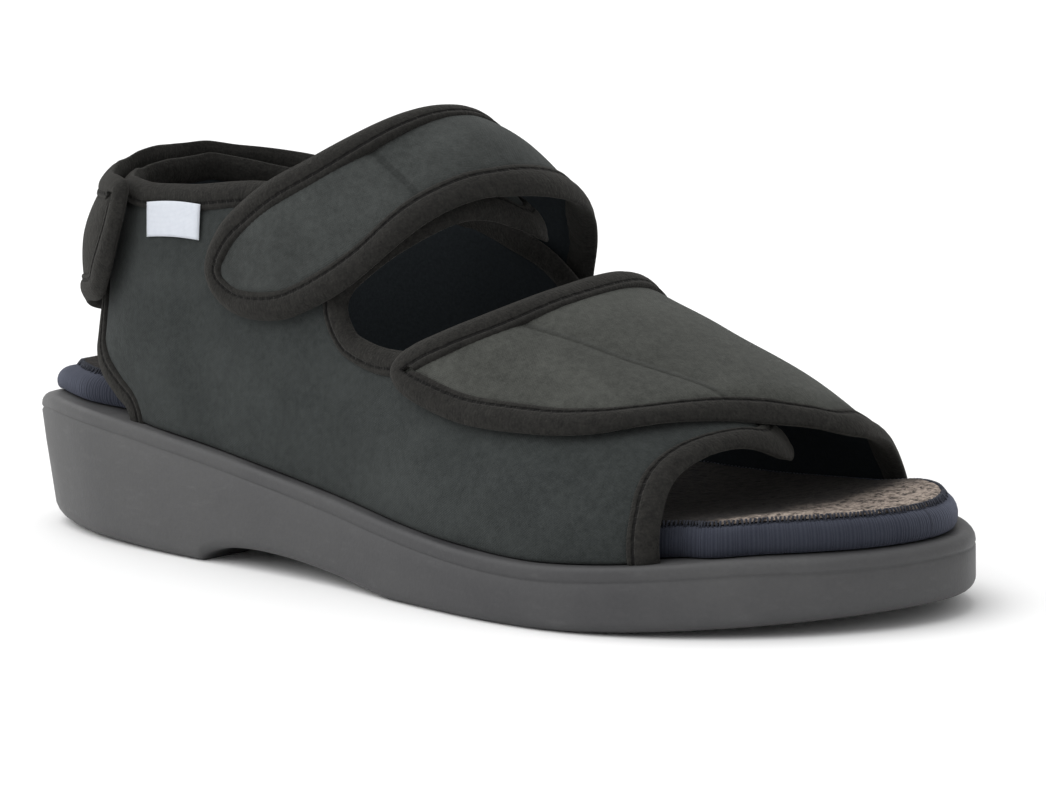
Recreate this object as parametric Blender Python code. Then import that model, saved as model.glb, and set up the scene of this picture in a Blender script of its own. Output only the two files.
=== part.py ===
"""Open-toe strap sandal for the right foot, built on the form of its own last.

X points to the toe, Y to the inner side of the foot and Z up. The origin lies on the floor, under the
middle of the heel seat. The sole comes from one outline and three height curves. Every piece of the upper
is a flat pattern, cut from a slab of its real thickness and then wrapped on the last.
"""

import math
from collections import namedtuple
from functools import lru_cache

import bmesh
import bpy
import numpy as np

# Sole, in metres
LENGTH = 0.280
BALL_WIDTH = 0.106
HEEL_WIDTH = 0.075
HEEL_SEAT = 0.045
HEEL_TURN = 0.060
HEEL_HEIGHT = 0.0357
FOREPART_HEIGHT = 0.0157
TOE_SPRING = 0.0050
TOP_SPRING = 0.0063
ARCH_RISE = 0.0050
HEEL_DRAFT = 0.0028
HEEL_EDGE_RADIUS = 0.0070
SOLE_EDGE_RADIUS = 0.0030
RIM_RADIUS = 0.0014
RIM_END_RADIUS = 0.0030
HEEL_DROP = 0.0022
TOE_DROP = 0.0024
RIM_GROOVE_DROP = 0.0038
RIM_GROOVE_DEPTH = 0.0006

# Footbed
FOOTBED_THICKNESS = 0.0072
FOOTBED_EDGE_RADIUS = 0.0030
HEEL_THINNING = 0.0016
FOOTBED_DISH = 0.0014
TOE_MARGIN = 0.0042
FOREPART_LEAN = 0.0036
HEEL_LEAN = 0.0020
COVER_THICKNESS = 0.0010
COVER_MARGIN = 0.0036
HEEL_COVER_MARGIN = 0.0070

# Upper and straps
INSTEP_RISE = 0.080
FEATHER = 0.0030
WALL = 0.0032
STRAP_THICKNESS = 0.0032
TAPE_WIDTH = 0.0068
TAPE_STEP = 0.0005
STRAP_LIFT = 0.0008
LABEL_THICKNESS = 0.0005
GAP = 0.0003

# How fine the faceted solids are
STATIONS = 36
CELL = 0.0100
OUTLINE_STEP = 0.0068
GIRTH_TO_LENGTH = 0.35

Edge = namedtuple("Edge", "along heel ball")
# The sole's top edge, from the back along the outer side to the toe and home along the inner side.
# along is a share of LENGTH, heel and ball are the shares of the two widths that make up the sideways place.
SOLE_EDGE = [
    Edge(0.000, 0.000, 0.000),
    Edge(0.015, -0.235, 0.000),
    Edge(0.055, -0.368, 0.000),
    Edge(0.125, -0.465, 0.000),
    Edge(0.215, -0.510, 0.000),
    Edge(0.340, -0.535, 0.000),
    Edge(0.465, -0.200, -0.265),
    Edge(0.590, 0.000, -0.470),
    Edge(0.695, 0.000, -0.505),
    Edge(0.785, 0.000, -0.487),
    Edge(0.865, 0.000, -0.395),
    Edge(0.935, 0.000, -0.245),
    Edge(0.982, 0.000, -0.060),
    Edge(1.000, 0.000, 0.115),
    Edge(0.988, 0.000, 0.270),
    Edge(0.945, 0.000, 0.410),
    Edge(0.875, 0.000, 0.502),
    Edge(0.785, 0.000, 0.540),
    Edge(0.695, 0.000, 0.520),
    Edge(0.590, 0.000, 0.462),
    Edge(0.465, 0.200, 0.235),
    Edge(0.340, 0.465, 0.000),
    Edge(0.215, 0.480, 0.000),
    Edge(0.125, 0.458, 0.000),
    Edge(0.055, 0.375, 0.000),
    Edge(0.015, 0.235, 0.000),
]

Section = namedtuple("Section", "along crown shift wall bulge outer inner")
# The last, cut across. along is a share of LENGTH; crown is the height over the sole and wall the upright
# stretch of the side, both as shares of INSTEP_RISE; shift moves the crown to the inner side as a share of
# BALL_WIDTH; bulge widens the wall; outer and inner say how far each shoulder reaches.
SECTIONS = [
    Section(0.161, 1.330, 0.000, 0.62, 1.03, 0.85, 0.85),
    Section(0.268, 1.368, 0.000, 0.62, 1.03, 0.85, 0.85),
    Section(0.357, 1.275, 0.000, 0.57, 1.04, 0.80, 0.80),
    Section(0.411, 1.160, 0.000, 0.52, 1.05, 0.73, 0.73),
    Section(0.468, 1.070, 0.009, 0.47, 1.05, 0.66, 0.68),
    Section(0.518, 1.012, 0.019, 0.42, 1.05, 0.62, 0.66),
    Section(0.557, 0.926, 0.028, 0.37, 1.05, 0.62, 0.66),
    Section(0.636, 0.668, 0.038, 0.30, 1.04, 0.66, 0.70),
    Section(0.714, 0.556, 0.047, 0.25, 1.03, 0.70, 0.72),
    Section(0.804, 0.424, 0.057, 0.21, 1.02, 0.72, 0.74),
    Section(0.857, 0.340, 0.053, 0.19, 1.02, 0.74, 0.60),
    Section(0.936, 0.225, 0.045, 0.15, 1.00, 0.74, 0.48),
]
# The same numbers at the very back of the heel, where the last leans in towards the ankle.
HEEL_BACK = Section(0.0, 1.16, 0.000, 0.25, 0.37, 0.64, 0.64)

Place = namedtuple("Place", "around girth")
# Patterns, cut flat. around is a share of LENGTH from the back of the heel, negative on the outer side. Up to
# HEEL_TURN it runs round the heel, and past it straight along the side. girth is the share of the way from the
# sole's edge to the crown, and over 1 it is beyond it.
# A place that is given twice is a corner.
UPPER = [
    # toe edge of the outer side, up to the end of the forepart tab
    Place(-0.852, -0.120), Place(-0.852, -0.120), Place(-0.849, 0.100), Place(-0.847, 0.212), Place(-0.844, 0.305),
    Place(-0.843, 0.403), Place(-0.847, 0.526), Place(-0.853, 0.640), Place(-0.861, 0.750), Place(-0.871, 0.860),
    Place(-0.875, 0.950), Place(-0.873, 1.030), Place(-0.858, 1.120), Place(-0.822, 1.160), Place(-0.750, 1.160),
    Place(-0.690, 1.060), Place(-0.662, 0.940), Place(-0.640, 0.780), Place(-0.612, 0.610), Place(-0.576, 0.470),
    # throat, up to the end of the instep tab
    Place(-0.529, 0.408), Place(-0.491, 0.400), Place(-0.476, 0.420), Place(-0.468, 0.454), Place(-0.471, 0.493),
    Place(-0.484, 0.544), Place(-0.501, 0.605), Place(-0.521, 0.679), Place(-0.538, 0.760), Place(-0.554, 0.860),
    Place(-0.568, 0.970), Place(-0.577, 1.080), Place(-0.571, 1.160), Place(-0.540, 1.180), Place(-0.500, 1.100),
    Place(-0.474, 0.950), Place(-0.448, 0.820), Place(-0.416, 0.710), Place(-0.380, 0.635),
    # collar
    Place(-0.337, 0.585), Place(-0.284, 0.540), Place(-0.246, 0.520), Place(-0.210, 0.514), Place(-0.170, 0.521),
    Place(-0.120, 0.532), Place(-0.060, 0.570), Place(0.000, 0.604), Place(0.060, 0.576), Place(0.120, 0.528),
    Place(0.170, 0.496), Place(0.210, 0.486), Place(0.270, 0.500), Place(0.335, 0.546), Place(0.400, 0.598),
    Place(0.460, 0.625), Place(0.510, 0.595), Place(0.545, 0.500),
    # the inner wall's front edge, which butts on the forepart flap
    Place(0.564, 0.380), Place(0.571, 0.250), Place(0.574, 0.100), Place(0.574, -0.120), Place(0.574, -0.120),
    # along the sole to the open heel
    Place(0.380, -0.120), Place(0.192, -0.120), Place(0.192, -0.120), Place(0.190, 0.000), Place(0.176, 0.040),
    Place(0.160, 0.075), Place(0.146, 0.110), Place(0.134, 0.150), Place(0.126, 0.195), Place(0.110, 0.240),
    Place(0.070, 0.268), Place(0.000, 0.275), Place(-0.070, 0.268), Place(-0.110, 0.240), Place(-0.126, 0.195),
    Place(-0.134, 0.150), Place(-0.146, 0.110), Place(-0.160, 0.075), Place(-0.176, 0.040), Place(-0.190, 0.000),
    Place(-0.192, -0.120), Place(-0.192, -0.120), Place(-0.400, -0.120), Place(-0.620, -0.120),
]
INSTEP_STRAP = [
    Place(-0.308, 0.399), Place(-0.315, 0.440), Place(-0.327, 0.487), Place(-0.350, 0.553), Place(-0.373, 0.619),
    Place(-0.400, 0.698), Place(-0.420, 0.766), Place(-0.438, 0.840), Place(-0.452, 0.920), Place(-0.461, 1.010),
    Place(-0.462, 1.110), Place(-0.455, 1.240), Place(-0.440, 1.370), Place(-0.422, 1.490), Place(-0.414, 1.540),
    Place(-0.422, 1.580), Place(-0.470, 1.595), Place(-0.516, 1.590), Place(-0.530, 1.550), Place(-0.538, 1.470),
    Place(-0.554, 1.340), Place(-0.568, 1.200), Place(-0.572, 1.060), Place(-0.566, 0.940), Place(-0.553, 0.846),
    Place(-0.538, 0.751), Place(-0.520, 0.652), Place(-0.498, 0.562), Place(-0.468, 0.476), Place(-0.432, 0.398),
    Place(-0.403, 0.351), Place(-0.370, 0.318), Place(-0.343, 0.310), Place(-0.319, 0.328), Place(-0.308, 0.362),
]
FOREPART_FLAP = [
    Place(-0.548, 0.366), Place(-0.553, 0.409), Place(-0.566, 0.455), Place(-0.587, 0.529), Place(-0.607, 0.627),
    Place(-0.621, 0.740), Place(-0.629, 0.871), Place(-0.630, 1.000), Place(-0.626, 1.120), Place(-0.617, 1.280),
    Place(-0.604, 1.450), Place(-0.592, 1.620), Place(-0.583, 1.800), Place(-0.580, 2.120), Place(-0.580, 2.120),
    Place(-0.720, 2.120), Place(-0.856, 2.120), Place(-0.856, 2.120), Place(-0.857, 1.880), Place(-0.862, 1.680),
    Place(-0.870, 1.480), Place(-0.880, 1.280), Place(-0.886, 1.120), Place(-0.886, 0.980), Place(-0.878, 0.880),
    Place(-0.862, 0.782), Place(-0.840, 0.685), Place(-0.820, 0.576), Place(-0.800, 0.490), Place(-0.772, 0.430),
    Place(-0.740, 0.392), Place(-0.700, 0.362), Place(-0.650, 0.341), Place(-0.600, 0.328), Place(-0.572, 0.326),
    Place(-0.556, 0.338),
]
HEEL_STRAP = [
    Place(-0.168, 0.262), Place(-0.190, 0.320), Place(-0.204, 0.385), Place(-0.209, 0.450), Place(-0.204, 0.496),
    Place(-0.184, 0.512), Place(-0.120, 0.536), Place(-0.060, 0.586), Place(0.000, 0.624), Place(0.060, 0.594),
    Place(0.120, 0.544), Place(0.180, 0.510), Place(0.240, 0.496), Place(0.300, 0.498), Place(0.345, 0.492),
    Place(0.366, 0.472), Place(0.370, 0.420), Place(0.358, 0.355), Place(0.330, 0.305), Place(0.290, 0.280),
    Place(0.200, 0.262), Place(0.130, 0.244), Place(0.060, 0.234), Place(0.000, 0.231), Place(-0.060, 0.233),
    Place(-0.120, 0.236), Place(-0.148, 0.243),
]
LABEL = [
    Place(-0.222, 0.394), Place(-0.222, 0.394), Place(-0.219, 0.465), Place(-0.219, 0.465),
    Place(-0.289, 0.491), Place(-0.289, 0.491), Place(-0.291, 0.419), Place(-0.291, 0.419),
]

# The straps stand off the last where they cross tab and crown. Each row is a girth share and a lift in metres.
INSTEP_LIFT = [(0.30, 0.0000), (0.50, 0.0006), (0.75, 0.0030), (1.00, 0.0042), (1.25, 0.0030), (1.60, 0.0000)]
FLAP_LIFT = [
    (0.30, 0.0000), (0.60, 0.0006), (0.85, 0.0020), (1.05, 0.0028), (1.25, 0.0018), (1.45, -0.0010), (1.70, -0.0040),
]
HEEL_STRAP_LIFT = [(0.22, 0.0008), (0.38, 0.0026), (0.54, 0.0010)]
# The free ends of the two tabs sink into the shoe.
TAB_SINK = 0.0080


def catmull(points, steps, closed=True):
    """A smooth curve through the points; steps(a, b) says in how many parts the run from a to b is cut."""
    points = np.asarray(points, float)
    count = len(points)
    found = []
    for i in range(count if closed else count - 1):
        if closed:
            before, here, there, after = (points[(i + k) % count] for k in (-1, 0, 1, 2))
        else:
            before, here = points[max(i - 1, 0)], points[i]
            there, after = points[i + 1], points[min(i + 2, count - 1)]
        if np.allclose(here, there):
            continue
        cuts = steps(here, there)
        for k in range(cuts):
            t = k / cuts
            found.append(
                here
                + 0.5 * t * (there - before)
                + 0.5 * t**2 * (2 * before - 5 * here + 4 * there - after)
                + 0.5 * t**3 * (3 * here - 3 * there + after - before)
            )
    if not closed:
        found.append(points[-1])
    return np.array(found)


def ease(t):
    t = np.clip(t, 0, 1)
    return t * t * (3 - 2 * t)


def read_table(rows, at, column):
    """The column's value at a station, on a smooth curve through the rows."""
    places = np.array([row[0] for row in rows])
    values = np.array([row[column] for row in rows])
    slopes = np.gradient(values, places)
    at = float(np.clip(at, places[0], places[-1]))
    i = int(np.clip(np.searchsorted(places, at) - 1, 0, len(places) - 2))
    width = places[i + 1] - places[i]
    t = (at - places[i]) / width
    return (
        values[i] * (2 * t**3 - 3 * t**2 + 1)
        + slopes[i] * width * (t**3 - 2 * t**2 + t)
        + values[i + 1] * (3 * t**2 - 2 * t**3)
        + slopes[i + 1] * width * (t**3 - t**2)
    )


# The sole's outline and heights. x_back is measured from the back of the heel.


def sole_outline():
    """Dense points of the top edge with the outward direction at each, both in plan."""
    rows = [(e.along * LENGTH, e.heel * HEEL_WIDTH + e.ball * BALL_WIDTH) for e in SOLE_EDGE]
    points = catmull(rows, lambda a, b: 14)
    run = np.roll(points, -1, 0) - np.roll(points, 1, 0)
    outward = np.stack([run[:, 1], -run[:, 0]], 1) / np.linalg.norm(run, axis=1)[:, None]
    return points, outward


OUTLINE, OUTWARD = sole_outline()
BACK_INDEX = int(np.argmin(OUTLINE[:, 0]))
TOE_INDEX = int(np.argmax(OUTLINE[:, 0]))


def side_points(side):
    """The outline's points of one side, from the back to the toe: side is -1 outer, 1 inner."""
    count = len(OUTLINE)
    if side < 0:
        index = [(BACK_INDEX + k) % count for k in range((TOE_INDEX - BACK_INDEX) % count + 1)]
    else:
        index = [(BACK_INDEX - k) % count for k in range((BACK_INDEX - TOE_INDEX) % count + 1)]
    return OUTLINE[index], OUTWARD[index]


SIDES = {side: side_points(side) for side in (-1, 1)}


def top_height(x_back):
    fall = ease((x_back - 0.026 * LENGTH) / (0.73 * LENGTH))
    spring = TOP_SPRING * np.clip((x_back / LENGTH - 0.732) / 0.268, 0, None) ** 1.6
    heel_drop = HEEL_DROP * (1 - ease(x_back / LENGTH / 0.07))
    toe_drop = TOE_DROP * ease((x_back / LENGTH - 0.90) / 0.10)
    return HEEL_HEIGHT + (FOREPART_HEIGHT - HEEL_HEIGHT) * fall + spring - heel_drop - toe_drop


def bottom_height(x_back):
    share = np.clip((x_back / LENGTH - 0.296) / 0.257, 0, 1)
    arch = ARCH_RISE * np.sin(math.pi * share**0.55)
    spring = TOE_SPRING * np.clip((x_back / LENGTH - 0.732) / 0.268, 0, None) ** 1.6
    return arch + spring


def at_station(x_back, side):
    """The outline's point and outward direction on one side."""
    points, outward = SIDES[side]
    order = np.argsort(points[:, 0], kind="stable")
    x, y = points[order, 0], points[order, 1]
    direction = np.array([np.interp(x_back, x, outward[order, k]) for k in (0, 1)])
    direction /= np.linalg.norm(direction)
    return np.array([x_back, np.interp(x_back, x, y)]), direction


def stations():
    """Places along the sole, close together at the round ends."""
    share = 0.5 - 0.5 * np.cos(math.pi * np.arange(STATIONS + 1) / STATIONS)
    return share * LENGTH


# Meshes


def face_outwards(shape):
    bmesh.ops.recalc_face_normals(shape, faces=shape.faces)
    if shape.calc_volume(signed=True) < 0:
        bmesh.ops.reverse_faces(shape, faces=shape.faces)


def new_object(name, mesh):
    obj = bpy.data.objects.new(name, mesh)
    SHOE.objects.link(obj)
    return obj


def sewn_rings(name, rings, lids):
    """A closed body from rings of equal length. lids gives, for the first and the last ring, the rows that close it."""
    mesh = bpy.data.meshes.new(name)
    shape = bmesh.new()
    made = [[shape.verts.new(p) for p in ring] for ring in rings]
    count = len(made[0])
    for low, high in zip(made, made[1:]):
        for i in range(count):
            j = (i + 1) % count
            shape.faces.new((low[i], low[j], high[j], high[i]))
    for ring, rows in ((made[0], lids[0]), (made[-1], lids[1])):
        close_across(shape, ring, rows)
    face_outwards(shape)
    shape.to_mesh(mesh)
    shape.free()
    return new_object(name, mesh)


def close_across(shape, ring, inner_rows):
    """Closes a ring that runs back to toe on the outer side and home on the inner side. inner_rows holds the points
    between the two sides at each station."""
    last = len(ring) // 2
    outer = ring[: last + 1]
    inner = [ring[0]] + [ring[-k] for k in range(1, last)] + [ring[last]]
    rows = []
    for i in range(last + 1):
        middle = [shape.verts.new(p) for p in inner_rows[i]] if 0 < i < last else []
        rows.append([outer[i], *middle, inner[i]] if 0 < i < last else [outer[i]])
    for here, there in zip(rows, rows[1:]):
        if len(here) == 1:
            for a, b in zip(there, there[1:]):
                shape.faces.new((here[0], b, a))
        elif len(there) == 1:
            for a, b in zip(here, here[1:]):
                shape.faces.new((a, b, there[0]))
        else:
            for a, b, c, d in zip(here, here[1:], there[1:], there):
                shape.faces.new((a, b, c, d))


def ring_at(inset, height):
    """A ring round the sole. inset gives how far in it lies at a station, height its level at a place."""
    found = {-1: [], 1: []}
    for side in (-1, 1):
        for x_back in stations():
            point, outward = at_station(x_back, side)
            point = point - outward * inset(x_back)
            found[side].append((point[0] - HEEL_SEAT, point[1], float(height(point[0]))))
    return found[-1] + found[1][-2:0:-1]


def across(ring, parts, level):
    """Rows of points between the two sides of a ring; level(x, y_share, z) gives their height."""
    last = len(ring) // 2
    rows = [[]]
    for i in range(1, last):
        a, b = np.array(ring[i]), np.array(ring[-i])
        row = []
        for k in range(1, parts):
            share = k / parts
            point = a + (b - a) * share
            row.append((point[0], point[1], level(share, point[2])))
        rows.append(row)
    return [*rows, []]


def flat_level(share, z):
    return z


# The sole


def edge_radius(x_back):
    return HEEL_EDGE_RADIUS + (SOLE_EDGE_RADIUS - HEEL_EDGE_RADIUS) * ease((x_back / LENGTH - 0.05) / 0.25)


def rim_radius(x_back):
    """The top edge is rounder at the back of the heel and round the toe."""
    along = x_back / LENGTH
    at_end = 1 - ease(along / 0.10) + ease((along - 0.86) / 0.10)
    return RIM_RADIUS + (RIM_END_RADIUS - RIM_RADIUS) * at_end


def draft(x_back):
    return HEEL_DRAFT * (1 - ease(x_back / LENGTH / 0.32))


def outsole():
    rings = []
    for degrees in (0, 30, 60, 90):
        turn = math.radians(degrees)
        rings.append(
            ring_at(
                lambda x: draft(x) + edge_radius(x) * (1 - math.sin(turn)),
                lambda x: bottom_height(x) + edge_radius(x) * (1 - math.cos(turn)),
            )
        )
    half_groove = RIM_GROOVE_DEPTH
    rings.append(ring_at(lambda x: 0, lambda x: top_height(x) - RIM_GROOVE_DROP - half_groove))
    rings.append(ring_at(lambda x: RIM_GROOVE_DEPTH, lambda x: top_height(x) - RIM_GROOVE_DROP))
    rings.append(ring_at(lambda x: 0, lambda x: top_height(x) - RIM_GROOVE_DROP + half_groove))
    for degrees in (0, 30, 60, 90):
        turn = math.radians(degrees)
        rings.append(
            ring_at(
                lambda x: rim_radius(x) * (1 - math.cos(turn)),
                lambda x: top_height(x) - rim_radius(x) * (1 - math.sin(turn)),
            )
        )
    lids = (across(rings[0], 2, flat_level), across(rings[-1], 2, flat_level))
    return sewn_rings("outsole", rings, lids)


# The footbed and its felt cover


def footbed_margin(x_back):
    """From the sole's edge to the footbed's edge: wider where the upper's wall stands between them."""
    along = x_back / LENGTH
    lean = FOREPART_LEAN * ease((along - 0.35) / 0.25) + HEEL_LEAN * (1 - ease((along - 0.22) / 0.12))
    wall = FEATHER + WALL + TAPE_STEP + GAP + lean
    beside_wall = ease((along - 0.10) / 0.08) * (1 - ease((along - 0.865) / 0.035))
    return TOE_MARGIN + (wall - TOE_MARGIN) * beside_wall


def footbed_top(x_back):
    thinner = HEEL_THINNING * (1 - ease(x_back / LENGTH / 0.16))
    return top_height(x_back) + GAP + FOOTBED_THICKNESS - thinner


def dished(share, z, depth):
    return z - depth * (1 - (2 * share - 1) ** 2) ** 2


def footbed():
    rings = [ring_at(footbed_margin, lambda x: top_height(x) + GAP)]
    for degrees in (0, 45, 90):
        turn = math.radians(degrees)
        rings.append(
            ring_at(
                lambda x: footbed_margin(x) + FOOTBED_EDGE_RADIUS * (1 - math.cos(turn)),
                lambda x: footbed_top(x) - FOOTBED_EDGE_RADIUS * (1 - math.sin(turn)),
            )
        )
    lids = (
        across(rings[0], 2, flat_level),
        across(rings[-1], 6, lambda share, z: dished(share, z, FOOTBED_DISH)),
    )
    return sewn_rings("footbed", rings, lids)


def cover_margin(x_back):
    wider = (HEEL_COVER_MARGIN - COVER_MARGIN) * (1 - ease(x_back / LENGTH / 0.16))
    return footbed_margin(x_back) + COVER_MARGIN + wider


def footbed_cover():
    rings = [
        ring_at(cover_margin, lambda x: footbed_top(x) + GAP),
        ring_at(cover_margin, lambda x: footbed_top(x) + GAP + COVER_THICKNESS),
    ]
    lids = tuple(across(ring, 6, lambda share, z: dished(share, z, FOOTBED_DISH)) for ring in rings)
    return sewn_rings("footbed_cover", rings, lids)


# The last


# Where the upper meets the sole, on each side.
FEATHER_LINE = {side: SIDES[side][0] - SIDES[side][1] * FEATHER for side in (-1, 1)}


def feather_width(x_back, side):
    line = FEATHER_LINE[side]
    order = np.argsort(line[:, 0], kind="stable")
    return float(np.interp(x_back, line[order, 0], line[order, 1]))


def feather_reach(angle):
    """Distance from the middle of the heel to the feather line: angle 0 is the back, negative the outer side."""
    line = np.vstack([FEATHER_LINE[-1][::-1], FEATHER_LINE[1]])
    around = np.arctan2(line[:, 1], HEEL_TURN - line[:, 0])
    order = np.argsort(around)
    return float(np.interp(angle, around[order], np.hypot(line[:, 0] - HEEL_TURN, line[:, 1])[order]))


def half_arch(width, base, crown, shift, wall, bulge, shoulder):
    """The four control points of half a section: sideways place and height."""
    return np.array(
        [
            (width, base),
            (width * bulge, base + wall * INSTEP_RISE),
            (shift + (width - shift) * shoulder, base + crown * INSTEP_RISE),
            (shift, base + crown * INSTEP_RISE),
        ]
    )


def bezier(control, t):
    t = np.asarray(t, float)[..., None]
    return (
        control[0] * (1 - t) ** 3
        + 3 * control[1] * (1 - t) ** 2 * t
        + 3 * control[2] * (1 - t) * t**2
        + control[3] * t**3
    )


ARC_STEPS = np.linspace(0, 1, 61)


def with_lengths(control):
    points = bezier(control, ARC_STEPS)
    return control, np.concatenate([[0], np.cumsum(np.linalg.norm(np.diff(points, axis=0), axis=1))])


@lru_cache(maxsize=None)
def half_section(x_back, side):
    along = x_back / LENGTH
    crown, shift, wall, bulge, outer, inner = (read_table(SECTIONS, along, k) for k in range(1, 7))
    width = feather_width(x_back, side)
    shoulder = outer if side < 0 else inner
    control = half_arch(width, float(top_height(x_back)), crown, shift * BALL_WIDTH, wall, bulge, shoulder)
    return with_lengths(control)


@lru_cache(maxsize=None)
def heel_section(angle):
    reach = feather_reach(angle)
    back = math.cos(angle) ** 1.6
    side_row = [read_table(SECTIONS, HEEL_TURN / LENGTH, k) for k in range(1, 7)]
    crown, shift, wall, bulge, outer, inner = (a + (b - a) * back for a, b in zip(side_row, HEEL_BACK[1:]))
    base = float(top_height(HEEL_TURN - reach * math.cos(angle)))
    return with_lengths(half_arch(reach, base, crown, 0.0, wall, bulge, outer))


def near_side(around):
    return -1 if around < 0 else 1


def girth_length(around, share):
    """Length up the wall for a girth share."""
    if abs(around) <= HEEL_TURN:
        return share * heel_section(around / HEEL_TURN * math.pi / 2)[1][-1]
    x_back, side = abs(around), near_side(around)
    near = half_section(x_back, side)[1][-1]
    far = half_section(x_back, -side)[1][-1]
    return share * near if share <= 1 else near + (share - 1) * far


def on_last(around, length):
    """The last's surface at a distance along the side and a length up the wall."""
    if abs(around) <= HEEL_TURN:
        angle = around / HEEL_TURN * math.pi / 2
        control, lengths = heel_section(angle)
        reach, height = bezier(control, np.interp(length, lengths, ARC_STEPS)) + below(control, length)
        return np.array([HEEL_TURN - HEEL_SEAT - reach * math.cos(angle), reach * math.sin(angle), height])
    x_back, side = abs(around), near_side(around)
    control, lengths = half_section(x_back, side)
    if length > lengths[-1]:
        length -= lengths[-1]
        control, lengths = half_section(x_back, -side)
        length = lengths[-1] - length
    sideways, height = bezier(control, np.interp(length, lengths, ARC_STEPS)) + below(control, length)
    return np.array([x_back - HEEL_SEAT, sideways, height])


def below(control, length):
    """Keeps the wall straight for the small stretch that a pattern reaches under the feather line."""
    if length >= 0:
        return np.zeros(2)
    start = control[1] - control[0]
    return start / np.linalg.norm(start) * length


PROBE = 0.0006


def wrapped(around, length, depth):
    """A point of a pattern on the last, depth metres outside its surface."""
    point = on_last(around, length)
    forward = on_last(around + PROBE, length) - on_last(around - PROBE, length)
    upward = on_last(around, length + PROBE) - on_last(around, length - PROBE)
    outward = np.cross(upward, forward)
    return point + outward / np.linalg.norm(outward) * depth


# Patterns


def flat_outline(places):
    """The pattern's outline in flat lengths. It is drawn on the last's own lines, so a level edge stays level."""
    rows = [(p.around, p.girth * GIRTH_TO_LENGTH) for p in places]
    drawn = catmull(rows, lambda a, b: max(1, round(float(np.linalg.norm(b - a)) * LENGTH / OUTLINE_STEP)))
    return np.array([(a * LENGTH, girth_length(a * LENGTH, g / GIRTH_TO_LENGTH)) for a, g in drawn])


def moved_in(line, distance):
    """The outline moved inwards, without the loops that a tight corner would leave."""
    run = np.roll(line, -1, 0) - np.roll(line, 1, 0)
    out = np.stack([run[:, 1], -run[:, 0]], 1) / np.linalg.norm(run, axis=1)[:, None]
    area = float(np.sum(line[:, 0] * np.roll(line[:, 1], -1) - np.roll(line[:, 0], -1) * line[:, 1]))
    inner = line - out * distance * (1 if area > 0 else -1)
    start, end = line[None, :], np.roll(line, -1, 0)[None, :]
    along = end - start
    share = ((inner[:, None] - start) * along).sum(2) / (along**2).sum(2)
    nearest = start + along * np.clip(share, 0, 1)[..., None]
    clear = np.linalg.norm(inner[:, None] - nearest, axis=2).min(1)
    return inner[clear > distance * 0.97]


def prism(name, line, low, high):
    """A flat outline with thickness, made from a filled curve."""
    curve = bpy.data.curves.new(name, "CURVE")
    curve.dimensions = "2D"
    curve.fill_mode = "BOTH"
    curve.extrude = (high - low) / 2
    spline = curve.splines.new("POLY")
    spline.points.add(len(line) - 1)
    for point, (x, y) in zip(spline.points, line):
        point.co = (x, y, 0, 1)
    spline.use_cyclic_u = True
    guide = bpy.data.objects.new(name, curve)
    CUTTERS.objects.link(guide)
    guide.location.z = (high + low) / 2
    bpy.context.view_layer.update()
    mesh = bpy.data.meshes.new_from_object(guide.evaluated_get(bpy.context.evaluated_depsgraph_get()))
    mesh.transform(guide.matrix_world)
    bpy.data.objects.remove(guide)
    shape = bmesh.new()
    shape.from_mesh(mesh)
    bmesh.ops.remove_doubles(shape, verts=shape.verts, dist=1e-6)
    face_outwards(shape)
    shape.to_mesh(mesh)
    shape.free()
    made = bpy.data.objects.new(name, mesh)
    CUTTERS.objects.link(made)
    made.hide_render = True
    made.display_type = "WIRE"
    return made


def slab(name, line, low, high):
    """A sheet of cells that covers the outline, with the cells on one shared lattice."""
    start = np.floor(line.min(0) / CELL - 1).astype(int)
    end = np.ceil(line.max(0) / CELL + 1).astype(int)
    count = end - start
    mesh = bpy.data.meshes.new(name)
    shape = bmesh.new()
    bmesh.ops.create_grid(shape, x_segments=int(count[0]), y_segments=int(count[1]), size=0.5)
    for vert in shape.verts:
        vert.co.x = (start[0] + (vert.co.x + 0.5) * count[0]) * CELL
        vert.co.y = (start[1] + (vert.co.y + 0.5) * count[1]) * CELL
        vert.co.z = low
    raised = bmesh.ops.extrude_face_region(shape, geom=shape.faces[:])
    for item in raised["geom"]:
        if isinstance(item, bmesh.types.BMVert):
            item.co.z = high
    face_outwards(shape)
    shape.to_mesh(mesh)
    shape.free()
    return new_object(name, mesh)


def boolean(obj, other, operation):
    modifier = obj.modifiers.new(operation.title(), "BOOLEAN")
    modifier.operation = operation
    modifier.solver = "EXACT"
    modifier.object = other
    bpy.context.view_layer.update()
    mesh = bpy.data.meshes.new_from_object(obj.evaluated_get(bpy.context.evaluated_depsgraph_get()))
    obj.modifiers.clear()
    obj.data = mesh


def cut_pattern(name, places, low, high, inner_step=TAPE_STEP):
    """A pattern cut from sheet, its free edges bound with tape, which stands a step over the sheet. The part that
    would reach under the sole's edge is cut off."""
    line = flat_outline(places)
    body = slab(name, line, low, high)
    boolean(body, prism(name + "_outline", moved_in(line, TAPE_WIDTH / 2), low - 0.01, high + 0.01), "INTERSECT")
    rim = slab(name + "_tape", line, low - inner_step, high + TAPE_STEP)
    boolean(rim, prism(name + "_tape_outline", line, low - 0.01, high + 0.01), "INTERSECT")
    boolean(rim, prism(name + "_tape_inside", moved_in(line, TAPE_WIDTH), low - 0.02, high + 0.02), "DIFFERENCE")
    boolean(body, rim, "UNION")
    rim.hide_render = True
    boolean(body, prism(name + "_trim", over_sole(), low - 0.02, high + 0.02), "INTERSECT")
    return body


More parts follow.
